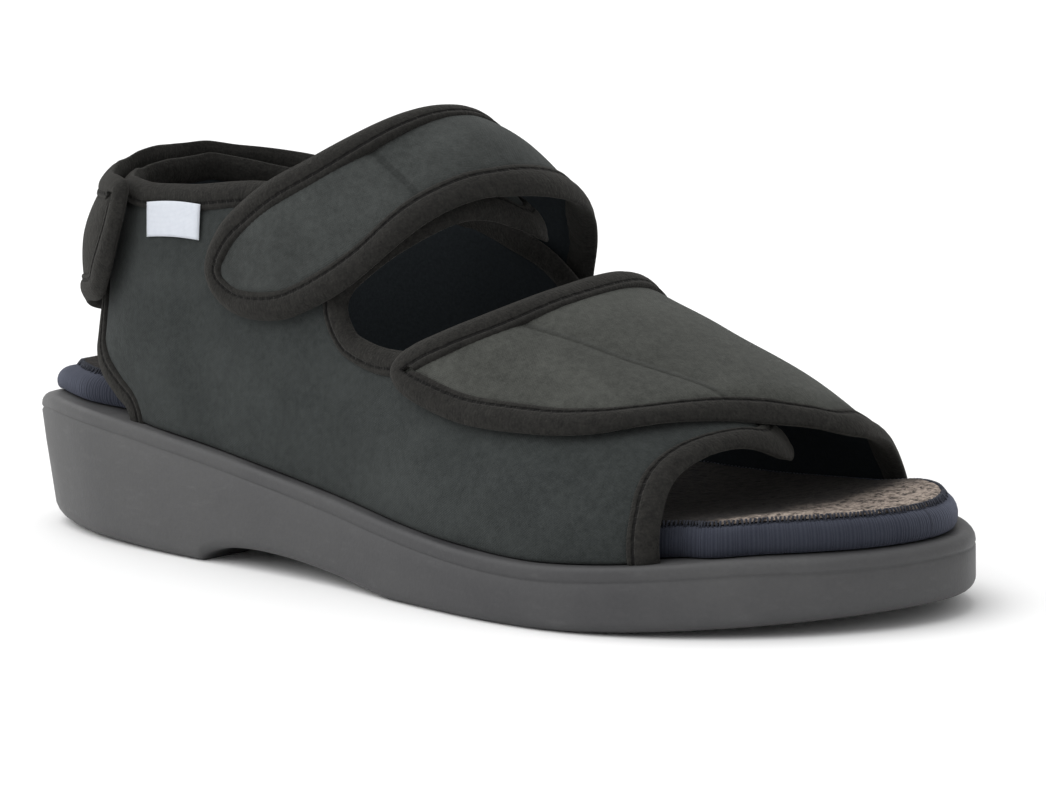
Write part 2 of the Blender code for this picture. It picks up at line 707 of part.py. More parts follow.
def over_sole():
    """The flat region between the sole's edge on one side and on the other, all round the heel."""
    reach = np.linspace(-0.95, 0.95, 96) * LENGTH
    near = [(a, GAP + 0.0001) for a in reach]
    far = [(a, girth_length(a, 2.0) - GAP - 0.0001) for a in reach[::-1]]
    return np.array(near + far)


def lifted(table, around, length):
    """Extra lift from a table of girth shares."""
    near = girth_length(around, 1.0)
    share = length / near if length <= near else 1 + (length - near) / (girth_length(around, 2.0) - near)
    return float(np.interp(share, [row[0] for row in table], [row[1] for row in table]))


def wrap(obj, extra):
    """Wraps a cut pattern on the last. extra(around, length) is added to each point's depth."""
    for vert in obj.data.vertices:
        around, length, depth = vert.co
        vert.co = wrapped(around, length, depth + extra(around, length))
    shape = bmesh.new()
    shape.from_mesh(obj.data)
    bmesh.ops.remove_doubles(shape, verts=shape.verts, dist=1e-5)
    bmesh.ops.triangulate(shape, faces=shape.faces[:])
    face_outwards(shape)
    shape.to_mesh(obj.data)
    shape.free()


def tab_sink(around, length):
    """How far the free ends of the tabs drop below the last."""
    if around > -HEEL_TURN:
        return 0.0
    share = length / girth_length(around, 1.0)
    return -TAB_SINK * float(ease((share - 0.80) / 0.45))


def upper():
    body = cut_pattern("upper", UPPER, -WALL, 0.0)
    wrap(body, tab_sink)
    return body


def strap(name, places, table):
    body = cut_pattern(name, places, STRAP_LIFT, STRAP_LIFT + STRAP_THICKNESS, inner_step=0.0)
    wrap(body, lambda around, length: lifted(table, around, length))
    return body


def side_label():
    line = flat_outline(LABEL)
    low = TAPE_STEP + GAP
    body = slab("side_label", line, low, low + LABEL_THICKNESS)
    boolean(body, prism("side_label_outline", line, -0.01, 0.01), "INTERSECT")
    wrap(body, lambda around, length: 0.0)
    return body


# Materials

Finish = namedtuple("Finish", "colour roughness")
FINISHES = {
    "outsole": Finish((0.085, 0.088, 0.090), 0.60),
    "footbed": Finish((0.016, 0.019, 0.030), 0.85),
    "footbed_cover": Finish((0.160, 0.135, 0.115), 0.95),
    "upper": Finish((0.036, 0.038, 0.036), 0.85),
    "instep_strap": Finish((0.036, 0.038, 0.036), 0.85),
    "forepart_flap": Finish((0.036, 0.038, 0.036), 0.85),
    "heel_strap": Finish((0.020, 0.020, 0.018), 0.90),
    "side_label": Finish((0.780, 0.790, 0.800), 0.60),
}


def finish(obj):
    look = FINISHES[obj.name]
    material = bpy.data.materials.new(obj.name)
    material.use_nodes = True
    shader = material.node_tree.nodes["Principled BSDF"]
    shader.inputs["Base Color"].default_value = (*look.colour, 1)
    shader.inputs["Roughness"].default_value = look.roughness
    shader.inputs["Metallic"].default_value = 0.0
    obj.data.materials.clear()
    obj.data.materials.append(material)
    obj.data.shade_smooth()
    obj.data.set_sharp_from_angle(angle=math.radians(35))


for old in list(bpy.data.objects):
    bpy.data.objects.remove(old)
SHOE = bpy.data.collections.new("strap_sandal")
CUTTERS = bpy.data.collections.new("cutters")
for collection in (SHOE, CUTTERS):
    bpy.context.scene.collection.children.link(collection)

PIECES = [
    outsole(),
    footbed(),
    footbed_cover(),
    upper(),
    strap("instep_strap", INSTEP_STRAP, INSTEP_LIFT),
    strap("forepart_flap", FOREPART_FLAP, FLAP_LIFT),
    strap("heel_strap", HEEL_STRAP, HEEL_STRAP_LIFT),
    side_label(),
]
for piece in PIECES:
    finish(piece)
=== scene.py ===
"""Looks of the open-toe strap sandal: a soft textile upper with three touch-close straps on a foam sole.

The sole, the last and the flat patterns have the same sizes as the solids. X points to the toe, Y to the
inner side of the foot and Z up, in metres, with the origin on the floor under the middle of the heel seat.
"""

import math
from collections import namedtuple

import bmesh
import bpy
import numpy as np
from mathutils import Matrix, Vector, noise


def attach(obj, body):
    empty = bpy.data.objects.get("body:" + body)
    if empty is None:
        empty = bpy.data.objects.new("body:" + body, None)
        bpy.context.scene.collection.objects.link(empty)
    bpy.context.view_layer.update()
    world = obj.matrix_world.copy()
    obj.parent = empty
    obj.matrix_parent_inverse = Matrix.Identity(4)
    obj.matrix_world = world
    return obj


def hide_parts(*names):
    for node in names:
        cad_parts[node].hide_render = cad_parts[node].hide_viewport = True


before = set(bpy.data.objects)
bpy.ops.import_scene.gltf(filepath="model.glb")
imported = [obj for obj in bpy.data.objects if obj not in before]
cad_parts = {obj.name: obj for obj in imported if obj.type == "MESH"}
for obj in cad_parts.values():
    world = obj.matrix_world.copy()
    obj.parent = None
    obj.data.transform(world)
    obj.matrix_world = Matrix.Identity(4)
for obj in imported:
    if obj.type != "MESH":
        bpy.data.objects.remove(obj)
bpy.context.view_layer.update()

# Camera: it stands to the outer side of the toe, a little over the shoe, and looks back along it. The shoe is
# seen through a long lens, so its far side is hardly smaller than its near side.
PHOTO_WIDTH = 1046
PHOTO_MIDDLE = (523, 399.5)
AIM_PIXEL = (466, 367.5)
VIEW_TURN = math.radians(42.87)
VIEW_RISE = math.radians(8.62)
VIEW_ROLL = math.radians(-1.05)
VIEW_DISTANCE = 1.346
AIM = Vector((0.095, 0.0, 0.050))
PIXELS_PER_METRE = 4000
SENSOR = 36.0

right = Vector((math.cos(VIEW_TURN), math.sin(VIEW_TURN), 0))
level_back = Vector((math.sin(VIEW_TURN), -math.cos(VIEW_TURN), 0))
back = level_back * math.cos(VIEW_RISE) + Vector((0, 0, math.sin(VIEW_RISE)))
up = back.cross(right)
rolled_right = right * math.cos(VIEW_ROLL) + up * math.sin(VIEW_ROLL)
rolled_up = up * math.cos(VIEW_ROLL) - right * math.sin(VIEW_ROLL)
camera = bpy.data.objects.new("camera", bpy.data.cameras.new("camera"))
bpy.context.scene.collection.objects.link(camera)
place = Matrix((rolled_right, rolled_up, back)).transposed().to_4x4()
place.translation = AIM + back * VIEW_DISTANCE
camera.matrix_world = place
camera.data.sensor_width = SENSOR
camera.data.lens = PIXELS_PER_METRE * VIEW_DISTANCE * SENSOR / PHOTO_WIDTH
camera.data.shift_x = (PHOTO_MIDDLE[0] - AIM_PIXEL[0]) / PHOTO_WIDTH
camera.data.shift_y = (AIM_PIXEL[1] - PHOTO_MIDDLE[1]) / PHOTO_WIDTH
camera.data.clip_start = 0.02
bpy.context.scene.camera = camera

# Floor and light: a white studio floor under soft light from all round, with a broad light from above the
# heel on the outer side. Neither belongs to the shoe.
FLOOR_COLOUR = (0.93, 0.93, 0.93, 1)
SKY_STRENGTH = 0.72
SUN_STRENGTH = 2.2
SUN_SPREAD = math.radians(95)
SUN_FROM = Vector((-0.50, -0.50, 1.0))
bpy.ops.mesh.primitive_plane_add(size=12, location=(0, 0, 0))
floor = bpy.context.object
floor.name = "floor"
floor_finish = bpy.data.materials.new("studio_floor")
floor_finish.use_nodes = True
floor_shader = floor_finish.node_tree.nodes["Principled BSDF"]
floor_shader.inputs["Base Color"].default_value = FLOOR_COLOUR
floor_shader.inputs["Roughness"].default_value = 0.9
floor_shader.inputs["Specular IOR Level"].default_value = 0.1
floor.data.materials.append(floor_finish)

sky = bpy.data.worlds.new("studio")
sky.use_nodes = True
sky.node_tree.nodes["Background"].inputs["Color"].default_value = (1, 1, 1, 1)
sky.node_tree.nodes["Background"].inputs["Strength"].default_value = SKY_STRENGTH
bpy.context.scene.world = sky
bpy.context.scene.view_settings.view_transform = "Standard"

lamp = bpy.data.lights.new("overhead", "SUN")
lamp.energy = SUN_STRENGTH
lamp.angle = SUN_SPREAD
light = bpy.data.objects.new("overhead", lamp)
bpy.context.scene.collection.objects.link(light)
light.rotation_euler = SUN_FROM.to_track_quat("Z", "Y").to_euler()

# Outsole: one block of moulded polyurethane foam, with a low wedge heel, an arch cut up from the floor and a
# rounded rim. A fine parting line runs under the rim, and wave grooves under the heel and the forepart grip.
LENGTH = 0.280
BALL_WIDTH = 0.106
HEEL_WIDTH = 0.075
HEEL_SEAT = 0.045
HEEL_TURN = 0.060
HEEL_HEIGHT = 0.0357
FOREPART_HEIGHT = 0.0157
WEDGE_START = 0.026
WEDGE_RUN = 0.73
TOE_SPRING = 0.0050
TOP_SPRING = 0.0063
SPRING_START = 0.732
ARCH_RISE = 0.0050
ARCH_START = 0.296
ARCH_RUN = 0.257
HEEL_DRAFT = 0.0028
HEEL_EDGE_RADIUS = 0.0070
SOLE_EDGE_RADIUS = 0.0030
RIM_RADIUS = 0.0014
RIM_END_RADIUS = 0.0030
HEEL_DROP = 0.0022
TOE_DROP = 0.0024
RIM_BAND = 0.006
RIM_GROOVE_DROP = 0.0038
RIM_GROOVE_DEPTH = 0.0004
TREAD_DEPTH = 0.0011
TREAD_PITCH = 0.0074
TREAD_WAVE = 0.0024
TREAD_WAVE_WIDTH = 0.0095
TREAD_SPAN = 0.09
TREAD_BORDER = 0.004
# each a place in metres from the back, and the tread's width there as a share of TREAD_SPAN
TREAD_WIDTHS = [(0, 0.3), (0.03, 0.8), (0.10, 0.9), (0.17, 1.0), (0.25, 0.9), (LENGTH, 0.2)]
HEEL_TREAD = (0.035, 0.26)
FOREPART_TREAD = (0.59, 0.93)
SOLE_STATIONS = 400
SOLE_PARTS = 48
EDGE_CUTS = 28
SOLE_COLOUR = (0.0310, 0.0310, 0.0335, 1)
# the pale tone of the scuffs, and of the painted light at the heel corner, the rear and the toe
SOLE_WORN_AND_LIT_COLOUR = (0.150, 0.150, 0.148, 1)
# where the sole is painted paler, in metres forward of the middle of the heel seat: the heel corner with
# scuffs and painted light, the rear and the toe with painted light
HEEL_RUB_AND_LIGHT = (-0.046, 0.006)
REAR_PAINTED_LIGHT = (0.0, 0.150)
TOE_PAINTED_LIGHT = (0.165, 0.235)

# The sole's top edge, from the back along the outer side to the toe and home along the inner side. Each row
# is a share of LENGTH, and the place sideways as shares of HEEL_WIDTH and of BALL_WIDTH.
SOLE_EDGE = [
    (0.000, 0.000, 0.000), (0.015, -0.235, 0.000), (0.055, -0.368, 0.000), (0.125, -0.465, 0.000),
    (0.215, -0.510, 0.000), (0.340, -0.535, 0.000), (0.465, -0.200, -0.265), (0.590, 0.000, -0.470),
    (0.695, 0.000, -0.505), (0.785, 0.000, -0.487), (0.865, 0.000, -0.395), (0.935, 0.000, -0.245),
    (0.982, 0.000, -0.060), (1.000, 0.000, 0.115), (0.988, 0.000, 0.270), (0.945, 0.000, 0.410),
    (0.875, 0.000, 0.502), (0.785, 0.000, 0.540), (0.695, 0.000, 0.520), (0.590, 0.000, 0.462),
    (0.465, 0.200, 0.235), (0.340, 0.465, 0.000), (0.215, 0.480, 0.000), (0.125, 0.458, 0.000),
    (0.055, 0.375, 0.000), (0.015, 0.235, 0.000),
]


def smooth_through(points, steps):
    """A closed smooth curve through the points, and for each point of it the number of its run.
    steps(a, b) says in how many parts the run from a to b is cut."""
    points = np.asarray(points, float)
    count = len(points)
    found, runs = [], []
    for i in range(count):
        before, here, there, after = (points[(i + k) % count] for k in (-1, 0, 1, 2))
        if np.allclose(here, there):
            continue
        cuts = steps(here, there)
        for k in range(cuts):
            t = k / cuts
            found.append(
                here
                + 0.5 * t * (there - before)
                + 0.5 * t**2 * (2 * before - 5 * here + 4 * there - after)
                + 0.5 * t**3 * (3 * here - 3 * there + after - before)
            )
            runs.append(i + t)
    return np.array(found), np.array(runs)


def ease(t):
    t = np.clip(t, 0, 1)
    return t * t * (3 - 2 * t)


def fade_in(x_back, start, run):
    """0 up to a place along the sole, then smoothly up to 1. start and run are shares of LENGTH."""
    return ease((x_back / LENGTH - start) / run)


def sole_sides():
    """The top edge's points and outward directions for the outer side, -1, and the inner side, 1."""
    rows = [(along * LENGTH, heel * HEEL_WIDTH + ball * BALL_WIDTH) for along, heel, ball in SOLE_EDGE]
    line = smooth_through(rows, lambda a, b: EDGE_CUTS)[0]
    run = np.roll(line, -1, 0) - np.roll(line, 1, 0)
    outward = np.stack([run[:, 1], -run[:, 0]], 1) / np.linalg.norm(run, axis=1)[:, None]
    heel, toe = int(np.argmin(line[:, 0])), int(np.argmax(line[:, 0]))
    outer = [(heel + k) % len(line) for k in range((toe - heel) % len(line) + 1)]
    inner = [(heel - k) % len(line) for k in range((heel - toe) % len(line) + 1)]
    return {-1: (line[outer], outward[outer]), 1: (line[inner], outward[inner])}


SIDES = sole_sides()


def toe_rise(x_back):
    """How far the toe has turned up: 0 behind the ball and 1 at the tip."""
    return np.clip((x_back / LENGTH - SPRING_START) / (1 - SPRING_START), 0, None) ** 1.6


def top_height(x_back):
    fall = (FOREPART_HEIGHT - HEEL_HEIGHT) * fade_in(x_back, WEDGE_START, WEDGE_RUN)
    ends = HEEL_DROP * (1 - fade_in(x_back, 0, 0.07)) + TOE_DROP * fade_in(x_back, 0.90, 0.10)
    return HEEL_HEIGHT + fall + TOP_SPRING * toe_rise(x_back) - ends


def bottom_height(x_back):
    share = np.clip((x_back / LENGTH - ARCH_START) / ARCH_RUN, 0, 1)
    return ARCH_RISE * np.sin(math.pi * share**0.55) + TOE_SPRING * toe_rise(x_back)


def sole_stations(count):
    """Places along the sole, closer together at its two ends, where the two sides meet."""
    heel, toe = SIDES[-1][0][0, 0], SIDES[-1][0][-1, 0]
    return heel + (0.5 - 0.5 * np.cos(math.pi * np.arange(count + 1) / count)) * (toe - heel)


def at_side(x_back, side):
    """The top edge's points and outward directions on one side, at many stations."""
    points, outward = SIDES[side]
    order = np.argsort(points[:, 0], kind="stable")
    x, y = points[order, 0], points[order, 1]
    direction = np.stack([np.interp(x_back, x, outward[order, k]) for k in (0, 1)], 1)
    direction /= np.linalg.norm(direction, axis=1)[:, None]
    return np.stack([x_back, np.interp(x_back, x, y)], 1), direction


def sole_level(stations, parts, inset, height, relief=None):
    """One level of a sole piece: rows of points from the outer to the inner side, at each station. inset and
    height are functions of the place along the sole, and relief adds to the height inside the edge."""
    ends = []
    for side in (-1, 1):
        points, outward = at_side(stations, side)
        ends.append(points - outward * inset(stations)[:, None])
    share = np.linspace(0, 1, parts + 1)[None, :, None]
    plan = ends[0][:, None, :] * (1 - share) + ends[1][:, None, :] * share
    level = height(plan[:, :, 0])
    if relief is not None:
        level = level + relief(plan[:, :, 0], plan[:, :, 1], share[:, :, 0])
    return np.dstack([plan[:, :, 0] - HEEL_SEAT, plan[:, :, 1], level])


def raised_from_grid(name, levels):
    """A closed block: a grid at the lowest level, drawn up through each next one by an extrusion."""
    rows, columns = levels[0].shape[:2]
    bpy.ops.object.select_all(action="DESELECT")
    bpy.ops.mesh.primitive_grid_add(x_subdivisions=rows - 1, y_subdivisions=columns - 1, size=2)
    obj = bpy.context.object
    obj.name = obj.data.name = name
    row = obj.data.attributes.new("row", "INT", "POINT")
    column = obj.data.attributes.new("column", "INT", "POINT")
    for i, vert in enumerate(obj.data.vertices):
        row.data[i].value = round((vert.co.x + 1) / 2 * (rows - 1))
        column.data[i].value = round((vert.co.y + 1) / 2 * (columns - 1))
    bpy.ops.object.mode_set(mode="EDIT")
    bpy.ops.mesh.select_all(action="SELECT")
    for k, level in enumerate(levels):
        if k:
            bpy.ops.mesh.extrude_region_move(TRANSFORM_OT_translate={"value": (0, 0, 0.01)})
        shape = bmesh.from_edit_mesh(obj.data)
        in_row = shape.verts.layers.int["row"]
        in_column = shape.verts.layers.int["column"]
        for vert in shape.verts:
            if vert.select:
                vert.co = level[vert[in_row], vert[in_column]]
        bmesh.update_edit_mesh(obj.data)
    bpy.ops.mesh.select_all(action="SELECT")
    bpy.ops.mesh.remove_doubles(threshold=2e-6)
    bpy.ops.mesh.dissolve_degenerate(threshold=1e-6)
    bpy.ops.mesh.normals_make_consistent(inside=False)
    bpy.ops.object.mode_set(mode="OBJECT")
    obj.data.shade_smooth()
    return obj


def edge_radius(x_back):
    return HEEL_EDGE_RADIUS + (SOLE_EDGE_RADIUS - HEEL_EDGE_RADIUS) * fade_in(x_back, 0.05, 0.25)


def rim_radius(x_back):
    at_end = 1 - fade_in(x_back, 0, 0.10) + fade_in(x_back, 0.86, 0.10)
    return RIM_RADIUS + (RIM_END_RADIUS - RIM_RADIUS) * at_end


def draft(x_back):
    return HEEL_DRAFT * (1 - fade_in(x_back, 0, 0.32))


def tread(x_back, sideways, share):
    """Wave grooves across the two places where the sole stands on the floor."""
    wave = x_back + TREAD_WAVE * np.sin(sideways / TREAD_WAVE_WIDTH * math.pi)
    groove = ease(1.6 - 4.4 * np.abs((wave / TREAD_PITCH) % 1 - 0.5))
    width = TREAD_SPAN * np.interp(x_back, *zip(*TREAD_WIDTHS))
    inside = ease((np.minimum(share, 1 - share) * width - TREAD_BORDER) / 0.004)
    heel = fade_in(x_back, HEEL_TREAD[0], 0.02) * (1 - fade_in(x_back, HEEL_TREAD[1], 0.02))
    forepart = fade_in(x_back, FOREPART_TREAD[0], 0.02) * (1 - fade_in(x_back, FOREPART_TREAD[1], 0.03))
    return TREAD_DEPTH * groove * inside * (heel + forepart)


def sole_levels():
    """The sole's levels: its lower edge, its side, the parting line and the rim."""
    stations = sole_stations(SOLE_STATIONS)
    levels = []

    def add(inset, height, relief=None):
        levels.append(sole_level(stations, SOLE_PARTS, inset, height, relief))

    for degrees in (0, 15, 30, 45, 60, 75, 90):
        turn = math.radians(degrees)
        add(
            lambda x: draft(x) + edge_radius(x) * (1 - math.sin(turn)),
            lambda x: bottom_height(x) + edge_radius(x) * (1 - math.cos(turn)),
            tread if degrees == 0 else None,
        )
    for share in (0.35, 0.7):
        add(
            lambda x: draft(x) * (1 - share),
            lambda x: (bottom_height(x) + edge_radius(x)) * (1 - share) + (top_height(x) - RIM_BAND) * share,
        )
    for offset, depth in ((-1.6, 0), (-0.8, 0.5), (0, 1), (0.8, 0.5), (1.6, 0)):
        add(
            lambda x: 0 * x + RIM_GROOVE_DEPTH * depth,
            lambda x: top_height(x) - RIM_GROOVE_DROP + RIM_GROOVE_DEPTH * offset,
        )
    for degrees in (0, 18, 36, 54, 72, 90):
        turn = math.radians(degrees)
        add(
            lambda x: rim_radius(x) * (1 - math.cos(turn)),
            lambda x: top_height(x) - rim_radius(x) * (1 - math.sin(turn)),
        )
    return levels


class Value:
    """A socket of a material. Arithmetic on it adds Math nodes, and add() makes any other node."""

    def __init__(self, tree, socket=None):
        self.tree = tree
        self.socket = socket

    def add(self, kind, settings, sockets, output=0):
        node = self.tree.nodes.new(kind)
        for name, setting in settings.items():
            setattr(node, name, setting)
        for name, value in sockets.items():
            if isinstance(value, Value):
                self.tree.links.new(value.socket, node.inputs[name])
            else:
                node.inputs[name].default_value = value
        return Value(self.tree, node.outputs[output])

    def maths(self, operation, first, second=0.0):
        return self.add("ShaderNodeMath", {"operation": operation}, {0: first, 1: second})

    def __add__(self, other):
        return self.maths("ADD", self, other)

    def __sub__(self, other):
        return self.maths("SUBTRACT", self, other)

    def __mul__(self, other):
        return self.maths("MULTIPLY", self, other)

    def __rsub__(self, other):
        return self.maths("SUBTRACT", other, self)

    __radd__ = __add__
    __rmul__ = __mul__

    def distance(self):
        """How far it is from 0."""
        return self.maths("ABSOLUTE", self)

    def wave(self, pitch):
        """A wave of a pitch in metres, from -1 to 1."""
        return self.maths("SINE", self * (2 * math.pi / pitch))

    def between(self, low, high):
        """0 below low, 1 above high, smooth between them."""
        sockets = {"Value": self, "From Min": low, "From Max": high}
        return self.add("ShaderNodeMapRange", {"interpolation_type": "SMOOTHSTEP"}, sockets)

    def grain(self, size, detail=2.0, rough=0.5):
        """Noise with grains of a size in metres, read at this place. It runs from 0 to 1."""
        sockets = {"Vector": self, "Scale": 1 / size, "Detail": detail, "Roughness": rough}
        return self.add("ShaderNodeTexNoise", {}, sockets)

    def mix(self, low, high):
        """The colour low where this is 0, and high where it is 1."""
        return self.add("ShaderNodeMix", {"data_type": "RGBA"}, {0: self, 6: low, 7: high}, 2)

    def parts(self):
        """The X, Y and Z of a vector."""
        node = self.add("ShaderNodeSeparateXYZ", {}, {0: self}).socket.node
        return [Value(self.tree, socket) for socket in node.outputs]

    def stretched(self, x, y, z):
        return self.add("ShaderNodeMapping", {}, {"Vector": self, "Scale": (x, y, z)})


def new_finish(name, roughness, sheen=0.0, sheen_colour=(1, 1, 1, 1), gloss=0.35):
    """A material, its shader node, and the place on the piece, in object coordinates and in its flat map."""
    material = bpy.data.materials.new(name)
    material.use_nodes = True
    shader = material.node_tree.nodes["Principled BSDF"]
    shader.inputs["Roughness"].default_value = roughness
    shader.inputs["Specular IOR Level"].default_value = gloss
    shader.inputs["Sheen Weight"].default_value = sheen
    shader.inputs["Sheen Roughness"].default_value = 0.5
    shader.inputs["Sheen Tint"].default_value = sheen_colour
    maker = Value(material.node_tree)
    place = maker.add("ShaderNodeTexCoord", {}, {}, 3)
    flat = maker.add("ShaderNodeTexCoord", {}, {}, 2)
    return material, shader, place, flat


def lay_on(shader, colour=None, height=None, depth=0.0001, rough=None):
    """Joins colour, bump height and roughness to a shader."""
    tree = shader.id_data
    if colour is not None:
        tree.links.new(colour.socket, shader.inputs["Base Color"])
    if rough is not None:
        tree.links.new(rough.socket, shader.inputs["Roughness"])
    if height is not None:
        bump = height.add("ShaderNodeBump", {}, {"Height": height, "Distance": depth, "Strength": 1.0})
        tree.links.new(bump.socket, shader.inputs["Normal"])


def foam_finish():
    """Matt moulded foam: cloudy grey with a fine skin and pale scuffs. The heel corner is paler with scuffs
    and painted light, and the rear and the toe with painted light alone.
    """
    material, shader, place, flat = new_finish("moulded_foam", 0.62, gloss=0.4)
    x, y, z = place.parts()
    clouds = place.grain(0.030, 3).between(0.35, 0.70)
    specks = place.grain(0.0011, 2)
    scuffs = place.stretched(1.0, 1.0, 2.6).grain(0.006, 4, 0.65).between(0.52, 0.78)
    heel_back = 1 - x.between(*HEEL_RUB_AND_LIGHT)
    rear = 1 - x.between(*REAR_PAINTED_LIGHT)
    front = x.between(*TOE_PAINTED_LIGHT)
    # Painted light: the heel corner, partly with its scuffs, the rear and the toe are painted paler where
    # light falls on them from behind and in front.
    rubbed_and_lit = heel_back * (0.55 + 0.45 * scuffs) * 0.36 + rear * 0.15 + front * 0.12 + scuffs * 0.08
    base = (clouds * 0.16 + specks * 0.10 + rubbed_and_lit).mix(SOLE_COLOUR, SOLE_WORN_AND_LIT_COLOUR)
    height = place.grain(0.0007, 3) * 0.6 + place.grain(0.0035, 2) * 0.8 + scuffs * 0.2
    lay_on(shader, base, height, 0.00010, 0.52 + 0.22 * clouds)
    return material


outsole = raised_from_grid("moulded_outsole", sole_levels())
outsole.data.materials.append(foam_finish())
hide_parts("outsole")
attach(outsole, "root")

# Footbed: a loose cushion of foam with soft bulging sides, covered in ribbed navy jersey that is drawn over
# its edge and overlocked to the felt on top.
GAP = 0.0003
FEATHER = 0.0030
WALL = 0.0032
TAPE_STEP = 0.0005
FOOTBED_THICKNESS = 0.0072
HEEL_THINNING = 0.0016
FOOTBED_DISH = 0.0014
TOE_MARGIN = 0.0042
FOREPART_LEAN = 0.0036
HEEL_LEAN = 0.0020
COVER_THICKNESS = 0.0010
COVER_MARGIN = 0.0036
HEEL_COVER_MARGIN = 0.0070
RIB_PITCH = 0.00085
CUSHION_STATIONS = 260
CUSHION_PARTS = 40
JERSEY_COLOUR = (0.032, 0.036, 0.049, 1)
JERSEY_DARK = (0.012, 0.014, 0.024, 1)


def footbed_margin(x_back):
    lean = FOREPART_LEAN * fade_in(x_back, 0.35, 0.25) + HEEL_LEAN * (1 - fade_in(x_back, 0.22, 0.12))
    wall = FEATHER + WALL + TAPE_STEP + GAP + lean
    beside_wall = fade_in(x_back, 0.10, 0.08) * (1 - fade_in(x_back, 0.865, 0.035))
    return TOE_MARGIN + (wall - TOE_MARGIN) * beside_wall


def footbed_thickness(x_back):
    return FOOTBED_THICKNESS - HEEL_THINNING * (1 - fade_in(x_back, 0, 0.16))


def footbed_top(x_back):
    return top_height(x_back) + GAP + footbed_thickness(x_back)


def dish(x_back, sideways, share):
    return -FOOTBED_DISH * (1 - (2 * share - 1) ** 2) ** 2


def cushion_levels():
    """The cushion's side, from the sole up: each row is an inset in metres and a share of the thickness."""
    sides = [
        (0.0016, 0.00), (0.0007, 0.06), (0.0002, 0.18), (0.0000, 0.32), (0.0000, 0.50), (0.0003, 0.66),
        (0.0008, 0.79), (0.0015, 0.89), (0.0024, 0.96), (0.0034, 0.995), (0.0044, 1.00),
    ]
    stations = sole_stations(CUSHION_STATIONS)
    return [
        sole_level(
            stations,
            CUSHION_PARTS,
            lambda x: footbed_margin(x) + inset,
            lambda x: top_height(x) + GAP + footbed_thickness(x) * share,
            dish if share == 1 else None,
        )
        for inset, share in sides
    ]


def number_edge(obj):
    """Writes on each point how far along the sole's edge it lies, for ribs that run round the cushion."""
    along = obj.data.attributes.new("edge_run", "FLOAT", "POINT")
    runs = {}
    for side in (-1, 1):
        points = SIDES[side][0]
        lengths = np.concatenate([[0], np.cumsum(np.linalg.norm(np.diff(points, axis=0), axis=1))])
        runs[side] = points, lengths * side
    table = np.vstack([runs[-1][0], runs[1][0]])
    values = np.concatenate([runs[-1][1], runs[1][1]])
    for i, vert in enumerate(obj.data.vertices):
        gap = table - np.array((vert.co.x + HEEL_SEAT, vert.co.y))
        along.data[i].value = values[int((gap**2).sum(1).argmin())]


def jersey_finish():
    """Navy rib-knit jersey, with fine ribs up the side and a dull nap on top."""
    material, shader, place, flat = new_finish("navy_jersey", 0.88, 0.25, (0.55, 0.60, 0.80, 1), 0.25)
    run = place.add("ShaderNodeAttribute", {"attribute_name": "edge_run"}, {}, 2)
    rib = run.wave(RIB_PITCH) * 0.5 + 0.5
    loops = place.stretched(1, 1, 1.6).grain(0.0005, 2)
    patches = place.grain(0.011, 3).between(0.35, 0.7)
    colour = (rib * 0.45 + loops * 0.45 + patches * 0.25 - 0.15).mix(JERSEY_DARK, JERSEY_COLOUR)
    lay_on(shader, colour, rib * 0.8 + loops * 0.7, 0.00012)
    return material


footbed = raised_from_grid("jersey_cushion", cushion_levels())
number_edge(footbed)
footbed.data.materials.append(jersey_finish())
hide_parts("footbed")
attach(footbed, "root")

# Felt top: a sheet of undyed wool felt, cut a little smaller than the cushion and overlocked round its edge.
# The fibres are beige, pinkish and dark brown, so it looks speckled, and a painted shadow darkens it behind
# the open toe, where the flap and the upper cover it.
FELT_NAP = 0.00022
# lumps of the felt in one metre
COARSE_LUMPS = 640
FINE_LUMPS = 1500
FELT_STATIONS = 330
FELT_PARTS = 110
CUT_STATIONS = 300
# where the painted shadow on the felt ends, in metres forward of the middle of the heel seat
PAINTED_SHADOW_EDGE = (0.195, 0.211)
FELT_LIGHT = (0.40, 0.335, 0.285, 1)
FELT_MIDDLE = (0.150, 0.122, 0.104, 1)
FELT_DARK = (0.016, 0.014, 0.014, 1)
# the colour of the painted shadow that the flap and the upper cast on the felt
FELT_PAINTED_SHADOW = (0.0090, 0.0092, 0.0105, 1)


def cover_margin(x_back):
    wider = (HEEL_COVER_MARGIN - COVER_MARGIN) * (1 - fade_in(x_back, 0, 0.16))
    return footbed_margin(x_back) + COVER_MARGIN + wider


def nap(x_back, sideways, share):
    """The felt's uneven surface over the dish of the cushion."""
    lumps = np.zeros_like(x_back)
    for spot in np.ndindex(x_back.shape):
        x, y = x_back[spot], sideways[spot]
        coarse = noise.noise(Vector((x * COARSE_LUMPS, y * COARSE_LUMPS, 3.0)))
        fine = noise.noise(Vector((x * FINE_LUMPS, y * FINE_LUMPS, 9.0)))
        lumps[spot] = coarse + 0.7 * fine
    return dish(x_back, sideways, share) + FELT_NAP * lumps


def felt_levels():
    """The felt, from the cushion up: each row is an inset, a height and the surface that it follows."""
    stations = sole_stations(FELT_STATIONS)
    rows = [
        (0.0, GAP, dish), (-0.0001, 0.6 * COVER_THICKNESS, dish), (0.0004, COVER_THICKNESS, dish),
        (0.0010, GAP + COVER_THICKNESS, nap),
    ]
    return [
        sole_level(
            stations,
            FELT_PARTS,
            lambda x: cover_margin(x) + inset,
            lambda x: footbed_top(x) + height,
            relief,
        )
        for inset, height, relief in rows
    ]


